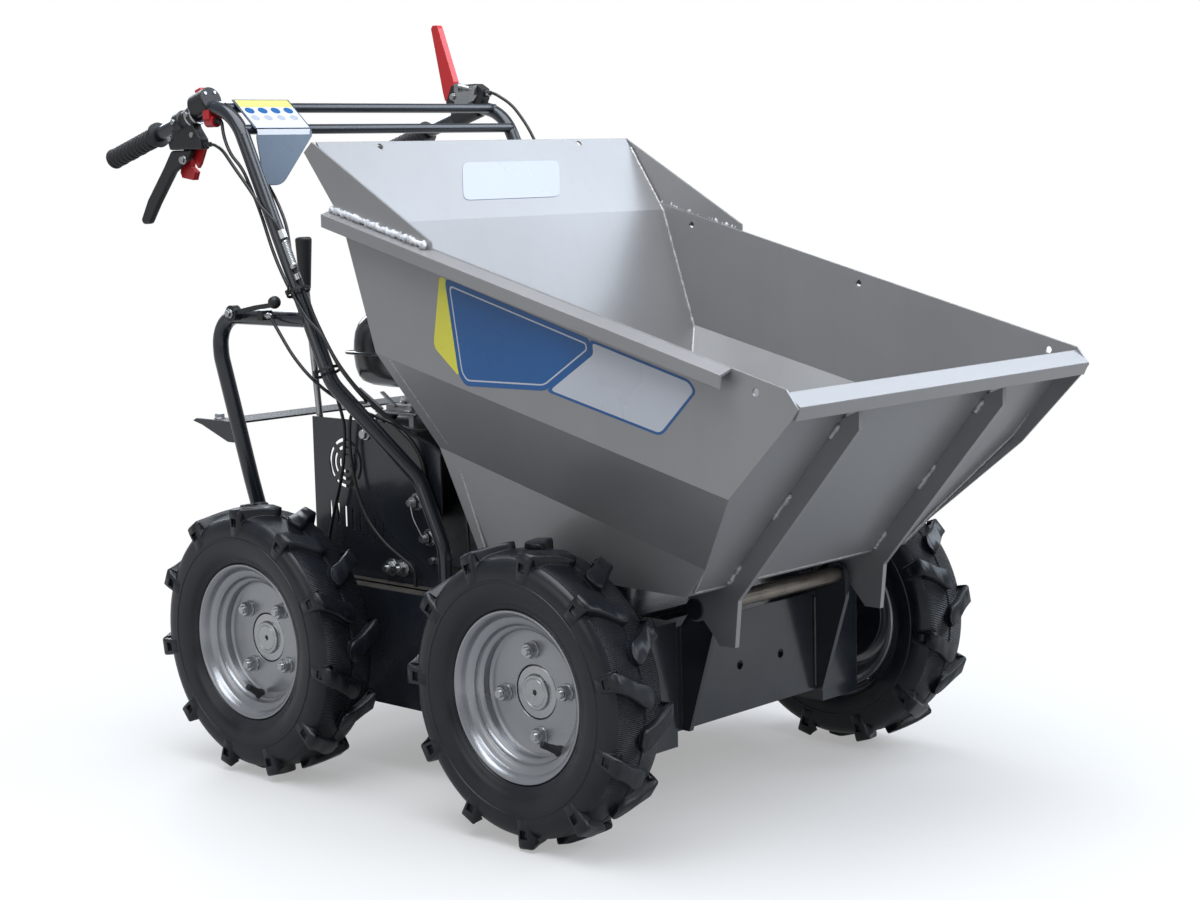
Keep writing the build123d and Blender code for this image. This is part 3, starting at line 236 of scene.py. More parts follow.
# ---- meshes ----
def placed(name, data):
    made = bpy.data.objects.new(name, data)
    bpy.context.collection.objects.link(made)
    return made


def dress(piece, body, replaces=(), slot=None):
    """Says what the piece rides on and which CAD nodes it replaces; slot is not used."""
    if replaces:
        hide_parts(*replaces)
    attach(piece, body)
    return piece


def clean(mesh, sharp):
    made = bmesh.new()
    made.from_mesh(mesh)
    bmesh.ops.remove_doubles(made, verts=made.verts, dist=1e-6)
    bmesh.ops.recalc_face_normals(made, faces=made.faces)
    made.to_mesh(mesh)
    made.free()
    mesh.shade_smooth()
    mesh.set_sharp_from_angle(angle=radians(sharp))


class Shape:
    """Points and faces gathered for one piece."""

    def __init__(self):
        self.points = []
        self.faces = []

    def add(self, points, faces):
        start = len(self.points)
        self.points += [tuple(p) for p in points]
        self.faces += [tuple(i + start for i in face) for face in faces]
        return self

    def loft(self, rings, closed=True, caps=True):
        """Joins rings of equal count; the rings are closed loops of points."""
        count = len(rings[0])
        points = [p for ring in rings for p in ring]
        faces = []
        for a in range(len(rings) - 1):
            for i in range(count if closed else count - 1):
                j = (i + 1) % count
                faces.append((a * count + i, a * count + j, (a + 1) * count + j, (a + 1) * count + i))
        if caps:
            faces.append(tuple(range(count)))
            faces.append(tuple(range((len(rings) - 1) * count, len(rings) * count)))
        return self.add(points, faces)

    def rod(self, start, end, radii, sides=24, turn=0.0):
        """A turned rod; radii is a list of (part of the way, radius)."""
        start, end = Vector(start), Vector(end)
        axis = (end - start).normalized()
        across, up = frame_of(axis)
        rings = []
        for part, radius in radii:
            middle = start.lerp(end, part)
            angles = [turn + 2 * pi * k / sides for k in range(sides)]
            rings.append([middle + (across * cos(a) + up * sin(a)) * radius for a in angles])
        return self.loft(rings)

    def box(self, x0, x1, y0, y1, z0, z1):
        corners = [(x, y, z) for x in (x0, x1) for y in (y0, y1) for z in (z0, z1)]
        sides = [(0, 1, 3, 2), (4, 6, 7, 5), (0, 4, 5, 1), (2, 3, 7, 6), (0, 2, 6, 4), (1, 5, 7, 3)]
        return self.add(corners, sides)

    def made(self, name, finish, body="chassis", sharp=32.0, **options):
        """The shape as a piece in its own place, smooth but for edges over the sharp angle."""
        mesh = bpy.data.meshes.new(name)
        mesh.from_pydata([at(*p) for p in self.points], [], self.faces)
        mesh.validate()
        piece = placed(name, mesh)
        clean(mesh, sharp)
        for material in finish if isinstance(finish, tuple) else (finish,):
            mesh.materials.append(material)
        return dress(piece, body, **options)


def frame_of(axis):
    side = Vector((0, 0, 1)) if abs(axis.z) < 0.9 else Vector((1, 0, 0))
    across = axis.cross(side).normalized()
    return across, axis.cross(across).normalized()


def plain_rod(radius, chamfer, length):
    """Radii of a straight rod with both ends chamfered."""
    part = chamfer / length
    return [(0, radius - chamfer), (part, radius), (1 - part, radius), (1, radius - chamfer)]


def turned(outline, centre, y_sign, sides=96):
    """Rings of a shape turned about an axle; outline is (radius, y outwards) from the wheel's middle."""
    rings = []
    for k in range(sides):
        angle = 2 * pi * k / sides
        rings.append([(centre[0] + r * sin(angle), centre[1] + y_sign * y, centre[2] - r * cos(angle))
                      for r, y in outline])
    return rings


def ring_faces(shape, rings, closed=True):
    """Joins turned outlines into a ring; an open outline ends on the axle."""
    count = len(rings[0])
    points = [p for ring in rings for p in ring]
    faces = []
    for a in range(len(rings)):
        b = (a + 1) % len(rings)
        for i in range(count if closed else count - 1):
            j = (i + 1) % count
            faces.append((a * count + i, a * count + j, b * count + j, b * count + i))
    return shape.add(points, faces)


def thick(path, t):
    """A closed outline round a path of (radius, y), t thick on its left."""
    other = []
    for i, (r, y) in enumerate(path):
        r0, y0 = path[max(i - 1, 0)]
        r1, y1 = path[min(i + 1, len(path) - 1)]
        length = ((r1 - r0) ** 2 + (y1 - y0) ** 2) ** 0.5
        other.append((r + t * (y1 - y0) / length, y - t * (r1 - r0) / length))
    return list(path) + other[::-1]


# ---- wheels ----
CARCASS = [
    (114.9, 33.0), (115.6, 37.0), (117.5, 39.8), (120.5, 41.4), (123.5, 42.8), (125, 44.6), (132, 47.2),
    (140, 49.0), (149, 49.8), (152.2, 49.9), (152.8, 50.9), (155.2, 50.9), (155.8, 49.8), (161, 49.8),
    (168, 49.2), (174, 47.6), (179.2, 44.6), (183.2, 40.2), (186.2, 34.2), (188.2, 26.0), (189.4, 16.0),
    (189.8, 8.0), (189.8, 2.8), (188.2, 1.2),
]
CARCASS_SIDES = 132
# A lug from the side wall over the shoulder to just past the middle: top radius, top y, height,
# distance round the tyre, width.
LUG = [
    (157.5, 49.4, 1.0, 0, 24), (159.5, 50.6, 2.6, 0, 24.5), (169, 50.9, 6.0, 0, 25.5),
    (187, 50.7, 10.5, 0, 26), (195, 49.6, 14.0, 0.3, 27), (197.9, 46.8, 16.0, 1.2, 27.5),
    (198.7, 40, 14.5, 4, 26.5), (199.2, 31, 13.5, 9, 25.5), (199.6, 22, 12.5, 15, 26),
    (199.9, 14, 12, 20.5, 28), (200, 7, 12, 24.5, 31), (200, 1, 12, 27, 32), (200, -4.5, 12, 28, 29.5),
    (199.7, -8.5, 12, 28.5, 22.5), (198.6, -11, 12, 28.5, 12),
]
LUGS = 11
SHOULDER_STEPS = 5
# A lug's section: part of its width across, place in its height, and how much wider it is there.
LUG_SECTION = [(-0.5, "low", 3.6), (-0.5, "upper", 0.8), (-0.5, "edge", -1.0), (-0.5, "top", -5.0),
               (0.5, "top", -5.0), (0.5, "edge", -1.0), (0.5, "upper", 0.8), (0.5, "low", 3.6)]
# The lug's face, from its start, that a pocket is sunk into: the top between its third and fourth rings.
POCKET_FACE = 2 * len(LUG_SECTION) + 3
RIBS_PER_RADIAN = 23.375
TREAD_HALF_WIDTH, TREAD_INNER_R = 0.040, 0.17


def lug_rings(centre, y_sign, start):
    rings = []
    for step, (r, y, high, along, wide) in enumerate(LUG):
        before = LUG[max(step - 1, 0)]
        after = LUG[min(step + 1, len(LUG) - 1)]
        tangent = Vector((after[0] - before[0], after[1] - before[1])).normalized()
        out = Vector((-tangent.y, tangent.x))
        if out.x < 0 and (out.y < 0 or step >= SHOULDER_STEPS):
            out = -out
        if step < SHOULDER_STEPS:
            out = Vector((max(out.x, 0.25), abs(out.y))).normalized()
        sunk = {"low": high + 1.0, "upper": 4.5, "edge": 1.5, "top": 0.0}
        ring = []
        for across, place, grow in LUG_SECTION:
            spot = Vector((r, y)) - out * sunk[place]
            angle = start - (along + across * (wide + grow)) / WHEEL_R
            ring.append((centre[0] + spot.x * sin(angle), centre[1] + y_sign * spot.y,
                         centre[2] - spot.x * cos(angle)))
        rings.append(ring)
    return rings


def make_tyre(name, body, centre, node, phase):
    shape = Shape()
    outline = [(r, y) for r, y in CARCASS] + [(r, -y) for r, y in reversed(CARCASS)]
    ring_faces(shape, turned(outline, centre, 1, CARCASS_SIDES))
    carcass_faces = len(shape.faces)
    pockets = []
    for side in (-1, 1):
        for k in range(LUGS):
            start = phase + 2 * pi * (k + (0.5 if side > 0 else 0)) / LUGS
            # The lugs lean the same way round the tyre on both sides, so that they meet as arrows.
            pockets.append(len(shape.faces) + POCKET_FACE)
            shape.loft(lug_rings(centre, side, start))
    mesh = bpy.data.meshes.new(name)
    mesh.from_pydata([at(*p) for p in shape.points], [], shape.faces)
    made = bmesh.new()
    made.from_mesh(mesh)
    made.faces.ensure_lookup_table()
    wells = [made.faces[i] for i in pockets]
    for face in made.faces[:carcass_faces]:
        middle = face.calc_center_median() - at(*centre)
        face.material_index = int(abs(middle.y) < TREAD_HALF_WIDTH and middle.length > TREAD_INNER_R)
    uv = made.loops.layers.uv.new("UVMap")
    for face in made.faces:
        middle = face.calc_center_median() - at(*centre)
        turn = atan2(middle.x, -middle.z)
        for loop in face.loops:
            place = loop.vert.co - at(*centre)
            angle = atan2(place.x, -place.z)
            if angle - turn > pi:
                angle -= 2 * pi
            if turn - angle > pi:
                angle += 2 * pi
            loop[uv].uv = (angle * RIBS_PER_RADIAN, place.y * 1000)
    bmesh.ops.recalc_face_normals(made, faces=made.faces)
    bmesh.ops.inset_individual(made, faces=wells, thickness=0.0042, depth=0)
    bmesh.ops.inset_individual(made, faces=wells, thickness=0.0008, depth=-0.0045)
    bmesh.ops.recalc_face_normals(made, faces=made.faces)
    made.to_mesh(mesh)
    made.free()
    mesh.shade_smooth()
    mesh.set_sharp_from_angle(angle=radians(44))
    mesh.materials.append(RUBBER)
    mesh.materials.append(TREAD)
    dress(placed(name, mesh), body, [node], "tyre")


RIM_PATH = [
    (114.6, 34.5), (115.2, 37.6), (114.2, 39.2), (112, 39.3), (109, 37.2), (106.4, 33), (105.2, 29),
    (103.8, 26.8), (100, 25.4), (96, 24.2), (93.6, 22), (92.4, 17.5), (90.6, 15.4), (87.6, 14.4),
    (85.4, 12.4), (84.6, 7), (85.6, 0), (88, -8), (90.5, -14), (98, -22), (100.5, -29), (103, -34),
    (109, -38), (112.5, -39.2), (114.8, -37),
]
RIM_SHEET, DISC_SHEET = 2.6, 3.0
DISC_PATH = [(85.6, 2.6), (84.4, 1.4), (82.4, 0.2), (79, -0.4), (60, -0.4), (37.4, -0.4), (36.6, -1.2)]


def make_rim(name, body, centre, y_sign, node):
    shape = Shape()
    ring_faces(shape, turned(thick(RIM_PATH, -RIM_SHEET), centre, y_sign))
    ring_faces(shape, turned(thick(DISC_PATH, -DISC_SHEET), centre, y_sign))
    shape.made(name, RIM, body, replaces=[node], sharp=28, slot="rim_paint")


WASHER = 2.4


def hex_nut(shape, seat, axis, flats, height, stud_r, stud_out, turn, washer_r=0.0):
    """A nut with chamfered corners on a threaded stud, over a washer."""
    seat, axis = Vector(seat), Vector(axis)
    if washer_r:
        shape.rod(seat, seat + axis * WASHER, plain_rod(washer_r, 0.5, WASHER), 32)
        seat = seat + axis * WASHER
    corner = flats / 3 ** 0.5
    across, up = frame_of(axis)
    rings = []
    for high, grow in ((0, 1.0), (height * 0.82, 1.0), (height, 0.86)):
        ring = []
        for k in range(12):
            angle = turn + pi * k / 6
            reach = min(flats / 2 if k % 2 else corner, corner * grow)
            ring.append(seat + axis * high + (across * cos(angle) + up * sin(angle)) * reach)
        rings.append(ring)
    shape.loft(rings)
    if stud_out:
        radii = [(k / 10, stud_r - (0.5 if k % 2 else 0.0)) for k in range(11)]
        shape.rod(seat + axis * (height - 1), seat + axis * (height + stud_out), radii, 20)


HUB = [
    (0.01, -139), (17.5, -139), (17.5, -34), (29, -33), (30, -32), (30, -11), (72.5, -11), (74, -10),
    (74, -4.4), (72.5, -3.4), (36.0, -3.4), (35.4, -2.0), (34.6, -1.4), (24.6, -1.2), (24.0, -0.4),
    (23.4, 2.4), (22.4, 3.2), (19.4, 3.2), (18.8, 2.6), (18.0, 2.6), (17.4, 3.2), (4.4, 3.2), (3.4, 2.4),
    (3.2, -3), (0.01, -3.5),
]
STUD_CIRCLE, NUT_SEAT = 56.5, -0.4
VALVE_CIRCLE, VALVE_OUT, VALVE_LENGTH = 86, 10, 30
VALVE = [(0, 8), (0.12, 7.6), (0.2, 6), (0.66, 4.6), (0.7, 4.0), (0.72, 4.8), (0.97, 4.6), (1, 3.6)]
# The hub's inner part, this far (in metres) inside the wheel's middle, has the chassis' paint.
HUB_PAINTED = 0.0032


def make_hub(name, body, centre, y_sign, node, first, valve_at):
    shape = Shape()
    ring_faces(shape, turned(HUB, centre, y_sign, 64), closed=False)
    for k in range(4):
        angle = radians(first + 90 * k + (0, -4, 0, 0)[k])
        seat = (centre[0] + STUD_CIRCLE * cos(angle), centre[1] + y_sign * NUT_SEAT,
                centre[2] + STUD_CIRCLE * sin(angle))
        hex_nut(shape, seat, (0, y_sign, 0), 18.5, 9.5, 5.6, 5.0, angle + 0.4 * k, washer_r=11.8)
    piece = shape.made(name, (ZINC, CHASSIS), body, replaces=[node], sharp=30, slot="steel")
    for polygon in piece.data.polygons:
        if (centre[1] / 1000 - polygon.center.y) * y_sign > HUB_PAINTED:
            polygon.material_index = 1
    angle = radians(valve_at)
    root = Vector((centre[0] + VALVE_CIRCLE * cos(angle), centre[1] + y_sign * VALVE_OUT,
                   centre[2] + VALVE_CIRCLE * sin(angle)))
    lean = Vector((-0.55 * cos(angle), y_sign * 0.83, -0.55 * sin(angle))).normalized()
    stem = Shape().rod(root, root + lean * VALVE_LENGTH, VALVE, 20)
    stem.made(name.replace("hub", "valve"), GRIP, body, slot="tyre")


# Axle, angles of the first stud and the valve in degrees, and how far each side's lugs are turned.
WHEELS = (("front", AXLE_X, 8, -53, (0.113, 0.343)), ("rear", -AXLE_X, 51, -97, (0.305, 0.49)))
for end, x, first, valve, phases in WHEELS:
    for (side, sign), phase in zip(SIDES, phases):
        body = f"wheel_{end}_{side}"
        centre = (x, sign * WHEEL_Y, WHEEL_R)
        make_tyre(f"tyre_detail_{end}_{side}", body, centre, f"tyre_{end}_{side}", phase)
        make_rim(f"rim_detail_{end}_{side}", body, centre, sign, f"rim_{end}_{side}")
        make_hub(f"hub_detail_{end}_{side}", body, centre, sign, f"hub_{end}_{side}", first, valve)


# ---- general pieces ----
def plate(name, outline, y0, y1, finish, bevel, segments=3, **options):
    """A flat piece whose outline lies in XZ, with rounded edges."""
    shape = Shape()
    shape.loft([[(x, y0, z) for x, z in outline], [(x, y1, z) for x, z in outline]])
    return rounded(shape.made(name, finish, **options), bevel, segments)


def rounded(piece, bevel, segments=3):
    modifier = piece.modifiers.new("round", "BEVEL")
    modifier.width = bevel / 1000
    modifier.segments = segments
    modifier.limit_method = "ANGLE"
    modifier.angle_limit = radians(28)
    modifier.harden_normals = True
    return piece


def weld(name, points, radius, body, finish=WELD, step=2.6, rough=0.15):
    """A laid bead: a half-round run with ripples, along straight runs."""
    shape = Shape()
    spots = []
    for a, b in zip(points, points[1:]):
        a, b = Vector(a), Vector(b)
        count = max(2, int((b - a).length / step))
        spots += [a.lerp(b, k / count) for k in range(count + (b == Vector(points[-1])))]
    rings = []
    for k, spot in enumerate(spots):
        ahead = spots[min(k + 1, len(spots) - 1)] - spots[max(k - 1, 0)]
        across, up = frame_of(ahead.normalized())
        swell = radius * (0.8 + 0.22 * (k % 2) + random.uniform(-rough, rough))
        if k in (0, len(spots) - 1):
            swell = radius * 0.4
        drift = Vector([random.uniform(-1, 1) for _ in range(3)]) * radius * rough * 0.7
        angles = [pi * i / 4 for i in range(8)]
        rings.append([spot + drift + (across * cos(a) + up * sin(a)) * swell for a in angles])
    shape.loft(rings)
    return shape.made(name, finish, body, sharp=60)


def film(name, points, finish, body, lift):
    """A thin film laid on a surface; points go round it and lift is its thickness as a vector."""
    lift = Vector(lift)
    shape = Shape()
    shape.loft([[Vector(p) for p in points], [Vector(p) + lift for p in points]])
    return shape.made(name, finish, body, sharp=20)


def inset_outline(points, gap):
    """The outline moved inwards by gap; points are (x, z)."""
    count = len(points)
    area = sum(points[i][0] * points[(i + 1) % count][1] - points[(i + 1) % count][0] * points[i][1]
               for i in range(count))
    turn = 1 if area > 0 else -1
    result = []
    for i in range(count):
        before, here, after = (Vector(points[(i + k) % count]) for k in (-1, 0, 1))
        first = (here - before).normalized()
        second = (after - here).normalized()
        n1 = Vector((-first.y, first.x)) * turn
        n2 = Vector((-second.y, second.x)) * turn
        result.append(tuple(here + (n1 + n2) * (gap / max(0.3, 1 + n1.dot(n2)))))
    return result


def bolt(name, seat, axis, flats, height, washer=0.0, stud=0.0, turn=0.3):
    shape = Shape()
    hex_nut(shape, seat, axis, flats, height, flats * 0.3, stud, turn, washer_r=washer)
    return shape.made(name, ZINC, sharp=30)


def tube_along(name, points, radius, finish):
    """A smooth round lead through the points."""
    curve = bpy.data.curves.new(name, "CURVE")
    curve.dimensions = "3D"
    curve.bevel_depth = radius / 1000
    curve.bevel_resolution = 4
    curve.use_fill_caps = True
    spline = curve.splines.new("NURBS")
    spline.points.add(len(points) - 1)
    for spot, place in zip(spline.points, points):
        spot.co = (*at(*place), 1)
    spline.order_u = 3
    spline.use_endpoint_u = True
    curve.resolution_u = 8
    curve.materials.append(finish)
    return dress(placed(name, curve), "chassis")


# ---- skip ----
SKIP_Y = 324.0
RIB_FOOT, RIB_TOP = Vector((457.6, 0, 331.5)), Vector((650.9, 0, 565.9))
# Parts of a rib's height between which it is welded to the skip's front.
RIB_RUNS = ((0.03, 0.14), (0.42, 0.57), (0.89, 0.97))
# Name, radius and path of the thin welds that both sides have.
SIDE_WELDS = (
    ("back_inside", 2.6,
     ((-131, 321, 908), (-63, 321, 806), (-2, 320.5, 622), (46, 249, 487), (90, 232, 337))),
    ("front_inside", 2.2, ((676, 320, 606), (586, 320, 490), (497, 246, 378), (462, 231, 337))),
    ("wing_back", 2.4, ((-150, 325, 915), (-110, 325, 850))),
)


def rim_z(x):
    return 800.0 - 0.264 * x


for side, sign in SIDES:
    weld(f"weld_wing_{side}", [(x, sign * 330, rim_z(x) + 1.5) for x in (-106, 88)], 5.2, "skip", CHALK,
         step=3.4, rough=0.30)
    for name, radius, path in SIDE_WELDS:
        weld(f"weld_{name}_{side}", [(x, sign * y, z) for x, y, z in path], radius, "skip")
    for n, parts in enumerate(RIB_RUNS):
        for face, y in (("in", 155.4), ("out", 164.6)):
            run = [RIB_FOOT.lerp(RIB_TOP, part) for part in parts]
            weld(f"weld_rib_{side}_{face}_{n}", [(p.x, sign * y, p.z) for p in run], 4.3, "skip",
                 step=3.2, rough=0.22)
for end, x in (("back", 91), ("front", 459)):
    weld(f"weld_floor_{end}", [(x, -228, 336), (x, 228, 336)], 2.4, "skip")

# Blank films on the right side; outlines are (x, z).
FILM_BLUE = [(114.7, 737.1), (376.9, 665.6), (379.8, 648.2), (297.2, 595.8), (148.7, 594.5), (135.9, 609.9)]
FILM_WHITE = [(376.9, 665.6), (540.9, 622.3), (551.7, 608.3), (493.4, 550.3), (297.2, 595.8), (379.8, 648.2)]
FILM_YELLOW = [(104.9, 738.6), (88.7, 644.7), (133.9, 608.9), (136.4, 610.6), (116.6, 736.6)]
# Name, outline, inset, corner radius, finish and thickness.
FILMS = (
    ("film_yellow", FILM_YELLOW, 0.0, 10, YELLOW, 0.22), ("film_blue", FILM_BLUE, 0.0, 10, BLUE, 0.26),
    ("film_blue_line", FILM_BLUE, 6.5, 8, WHITE, 0.32), ("film_blue_middle", FILM_BLUE, 8.6, 7, BLUE, 0.38),
    ("film_white_edge", FILM_WHITE, 0.0, 10, BLUE, 0.24), ("film_white", FILM_WHITE, 3.4, 8, WHITE, 0.30),
)


def corners_rounded(points, radius, steps=4):
    """The outline with each corner rounded."""
    result = []
    count = len(points)
    for i in range(count):
        before, here, after = (Vector(points[(i + k) % count]) for k in (-1, 0, 1))
        reach = min(radius, 0.4 * (here - before).length, 0.4 * (after - here).length)
        start = here + (before - here).normalized() * reach
        end = here + (after - here).normalized() * reach
        for k in range(steps + 1):
            t = k / steps
            result.append(tuple(start * (1 - t) ** 2 + here * (2 * t * (1 - t)) + end * t ** 2))
    return result


for name, outline, gap, radius, finish, lift in FILMS:
    outline = corners_rounded(inset_outline(outline, gap), radius)
    film(name, [(x, -SKIP_Y - 0.05, z) for x, z in outline], finish, "skip", (0, -lift, 0))

# Blank pale film inside the back wall, on its upper part; points are (y, z).
BACK_LEAN = 0.682
BACK_X, BACK_Z = -63.0, 808.0
FILM_BACK = [(-99, 834.5), (104, 834.5), (142, 889), (-64, 889)]
outline = [(BACK_X - BACK_LEAN * (z - BACK_Z), y, z) for y, z in corners_rounded(FILM_BACK, 13)]
film("film_back", outline, PALE, "skip", (0.25, 0, 0.17))


# ---- label plate ----
OUTER_Y, INNER_Y = -267.0, -160.0
LABEL_SHEET = 2.0
label_n = Vector((0.646, 0, 0.763))
bar_a = Vector((-398.0, 0, 978.0))
bar_b = Vector((-359.0, 0, 945.0))
label_along = (bar_b - bar_a).normalized()
label_top = bar_a + label_n * 7.7 - label_along * 8
label_bend = bar_b + label_n * 7.7 + label_along * 9
label_tip = Vector((-330, 0, 862))
low_along = (label_tip - label_bend).normalized()
UP = (label_bend - label_top).length
LOW = (label_tip - label_bend).length
# Each half of the plate: its top, its direction down and the direction it faces.
UPPER = (label_top, label_along, label_n)
LOWER = (label_bend, low_along, Vector((-low_along.z, 0, low_along.x)))


def on_label(half, outline, lift=0.0):
    """Points on the plate; outline is (distance down the plate, y)."""
    top, along, normal = half
    return [top + along * d + Vector((0, y, 0)) + normal * lift for d, y in outline]


def label_film(name, half, outline, finish, lift=2.02, thickness=0.2):
    film(name, on_label(half, outline, lift), finish, "chassis", half[2] * thickness)


upper_outline = [(0, INNER_Y), (0, OUTER_Y), (UP, OUTER_Y), (UP, INNER_Y)]
low_outline = corners_rounded([(0.0, INNER_Y), (0.0, OUTER_Y), (LOW, OUTER_Y), (LOW, OUTER_Y + 34),
                               (LOW * 0.12, INNER_Y)], 17, 7)
flat = Shape()
for half, outline in ((UPPER, upper_outline), (LOWER, [(max(d, 0.0), y) for d, y in low_outline])):
    flat.loft([on_label(half, outline), on_label(half, outline, LABEL_SHEET)])
rounded(flat.made("label_plate_detail", PLATE, replaces=["label_plate"], sharp=25), 0.6, 2)
for name, half, near, far, gap, finish in (
        ("label_yellow", UPPER, 2, 19, 3, YELLOW_PALE), ("label_white", UPPER, 19, UP - 0.5, 3, WHITE),
        ("label_white_low", LOWER, 0.5, 9, 6, WHITE)):
    strip = [(near, OUTER_Y + 3), (near, INNER_Y - 3), (far, INNER_Y - gap), (far, OUTER_Y + 3)]
    label_film(name, half, strip, finish)
for n in range(4):
    for name, down, high, wide, finish in (("sign", 27, 7, 8.5, BLUE), ("mark", 44, 6, 7.5, PALE)):
        dot = [(down + high * cos(pi * k / 8), -251 + 24.5 * n + wide * sin(pi * k / 8)) for k in range(16)]
        label_film(f"label_{name}_{n}", UPPER, dot, finish, 2.2, 0.12)

# ---- panel fixings ----
PANEL_FACE = 200.0
# x, z, width over flats, washer's radius and stud's length.
PANEL_BOLTS = (
    (-199.6, 493.7, 13, 9.5, 0), (-91.5, 401.6, 17, 13, 7), (-66.4, 351.3, 17, 13, 7),
    (-150.7, 298.8, 17, 13, 6), (-126.6, 299.9, 17, 13, 6), (-62.0, 317.4, 10, 0, 0),
)
LOCK_WIRE = ((-91.5, 14, 401.6), (-86, 17, 384), (-73, 17, 366), (-66.4, 14, 351.3))
for side, sign in SIDES:
    for n, (x, z, flats, washer, stud) in enumerate(PANEL_BOLTS):
        seat = (x, sign * PANEL_FACE, z)
        bolt(f"panel_bolt_{side}_{n}", seat, (0, sign, 0), flats, flats * 0.5, washer, stud)
    tube_along(f"lock_wire_{side}", [(x, sign * (PANEL_FACE + out), z) for x, out, z in LOCK_WIRE], 1.0, ZINC)
    for n in range(4):
        bolt(f"foot_bolt_{side}_{n}", (-300 + 78 * n, sign * 188.5, 277.1), UPWARD, 13, 6, 8, turn=0.5)

# Slotted bracket from the right panel's top towards the tank.
for n, (a, b) in enumerate((((-226, 558), (-176, 530)), ((-190, 553), (-160, 533)))):
    strip = Shape()
    strip.loft([[(a[0], y, a[1]), (b[0], y, b[1]), (b[0], y, b[1] + 2.5), (a[0], y, a[1] + 2.5)]
                for y in (-192 + 14 * n, -184 + 14 * n)])
    rounded(strip.made(f"bracket_arm_{n}", BRACKET), 0.5, 2)
bracket = Shape()
bracket.loft([[(-184, y, 526), (-96, y, 526), (-88, y, 533), (-88, y, 535), (-97, y, 528.6), (-184, y, 528.6)]
              for y in (-194, -150)])
bracket.box(-180, -170, -193, -186, 505, 526.5)
bracket.box(-112, -102, -193, -186, 496, 526.5)
rounded(bracket.made("panel_bracket", BRACKET), 0.8, 2)
for n in range(3):
    left = -164 + 22 * n
    Shape().box(left, left + 14, -186, -181, 528.5, 528.9).made(f"bracket_slot_{n}", PLASTIC)
bolt("bracket_screw", (-128, -176, 528.6), UPWARD, 10, 5, washer=8)

# Painted warm reflection: a thin strip along the top of each chain case, outside the panel's foot, coloured
# as warm light reflected off the ledge.
FOOT_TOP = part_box("side_panel_right")[0][2] * 1000 + 2.2
CASE_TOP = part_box("chain_case_right")[1][2] * 1000
for side, sign in SIDES:
    ledge = Shape()
    for near, far, height in ((201.0, 216.5, FOOT_TOP), (218.8, 241.2, CASE_TOP)):
        ledge.box(-318, -42, min(sign * near, sign * far), max(sign * near, sign * far), height, height + 0.5)
    ledge.made(f"case_ledge_{side}", LEDGE_WARM_REFLECTION, slot="chassis_paint")

# Bright steel tube round the tip shaft between the ears; its warm brown tint is a painted reflection of warm
# light.
TIP_X, TIP_Z = 407.0, 298.0
TUBE_R, TUBE_HALF = 11.6, 141.4
ends = [(TIP_X, y, TIP_Z) for y in (-TUBE_HALF, TUBE_HALF)]
Shape().rod(*ends, plain_rod(TUBE_R, 0.4, 2 * TUBE_HALF), 40).made("tip_tube", STEEL_WARM_REFLECTION, sharp=30, slot="steel")

# Shroud between the panel and the engine's fan cowl.
shroud = corners_rounded([(-307, 322), (-140, 322), (-140, 505), (-280, 505), (-307, 470)], 14)
plate("engine_shroud", shroud, -152, -149, PLASTIC, 1.0)
stays = Shape().box(-250, -238, -150, -103, 380, 392).box(-190, -178, -150, -103, 380, 392)
stays.made("shroud_stays", STEEL)

# ---- front plate, chain cases and rear platform ----
CASE_FACE, BEARING_CIRCLE = 242.0, 46
# Name, radius, x, y, foot and top of the upright welds on the front plate.
UPRIGHT_WELDS = (("ear", 2.6, 369.5, 141, 130, 262), ("case", 2.0, 366, 243, 110, 270))
for side, sign in SIDES:
    for name, radius, x, y, foot, top in UPRIGHT_WELDS:
        weld(f"weld_{name}_{side}", [(x, sign * y, foot), (x, sign * y, top)], radius, "chassis", CHASSIS)
    for n, x in enumerate((-380, -200, 120, 300)):
        for name, z, turn in (("case_bolt", 250, n), ("case_low_bolt", 128, n + 0.4)):
            bolt(f"{name}_{side}_{n}", (x, sign * CASE_FACE, z), (0, sign, 0), 13, 6.5, 9, turn=turn)
    for end, x in (("front", AXLE_X), ("rear", -AXLE_X)):
        for k in range(4):
            angle = pi / 4 + pi * k / 2
            seat = (x + BEARING_CIRCLE * cos(angle), sign * CASE_FACE, WHEEL_R + BEARING_CIRCLE * sin(angle))
            bolt(f"bearing_bolt_{side}_{end}_{k}", seat, (0, sign, 0), 10, 5, 7)
for side, sign in SIDES:
    bolt(f"shelf_bolt_{side}", (-488, sign * 248, 503), UPWARD, 13, 6, 9)

# ---- grips ----
SLOPE = 0.29
SLOPE_C = 1 / (1 + SLOPE ** 2) ** 0.5
GRIP_DOWN = Vector((-SLOPE_C, 0, -SLOPE * SLOPE_C))
GRIP_UP = Vector((-SLOPE * SLOPE_C, 0, SLOPE_C))
BEND = Vector((-388, 0, 994))
HANDLE_Y = 280
# The grip's ends, measured from the bend, its largest radius, and its rings' and finger bumps' pitch.
GRIP_FROM, GRIP_TO = 182.5, 312
GRIP_MOST_R, RING_PITCH, FINGER_PITCH = 16.0, 10.3, 27
GRIP_RING = ((0, 13.2), (1.4, 15.0), (4.2, 15.4), (7.0, 15.0), (8.4, 13.2))


def on_grip(along, sign):
    """A point on a handle's middle line, this far back from the bend."""
    return BEND + GRIP_DOWN * along + Vector((0, sign * HANDLE_Y, 0))


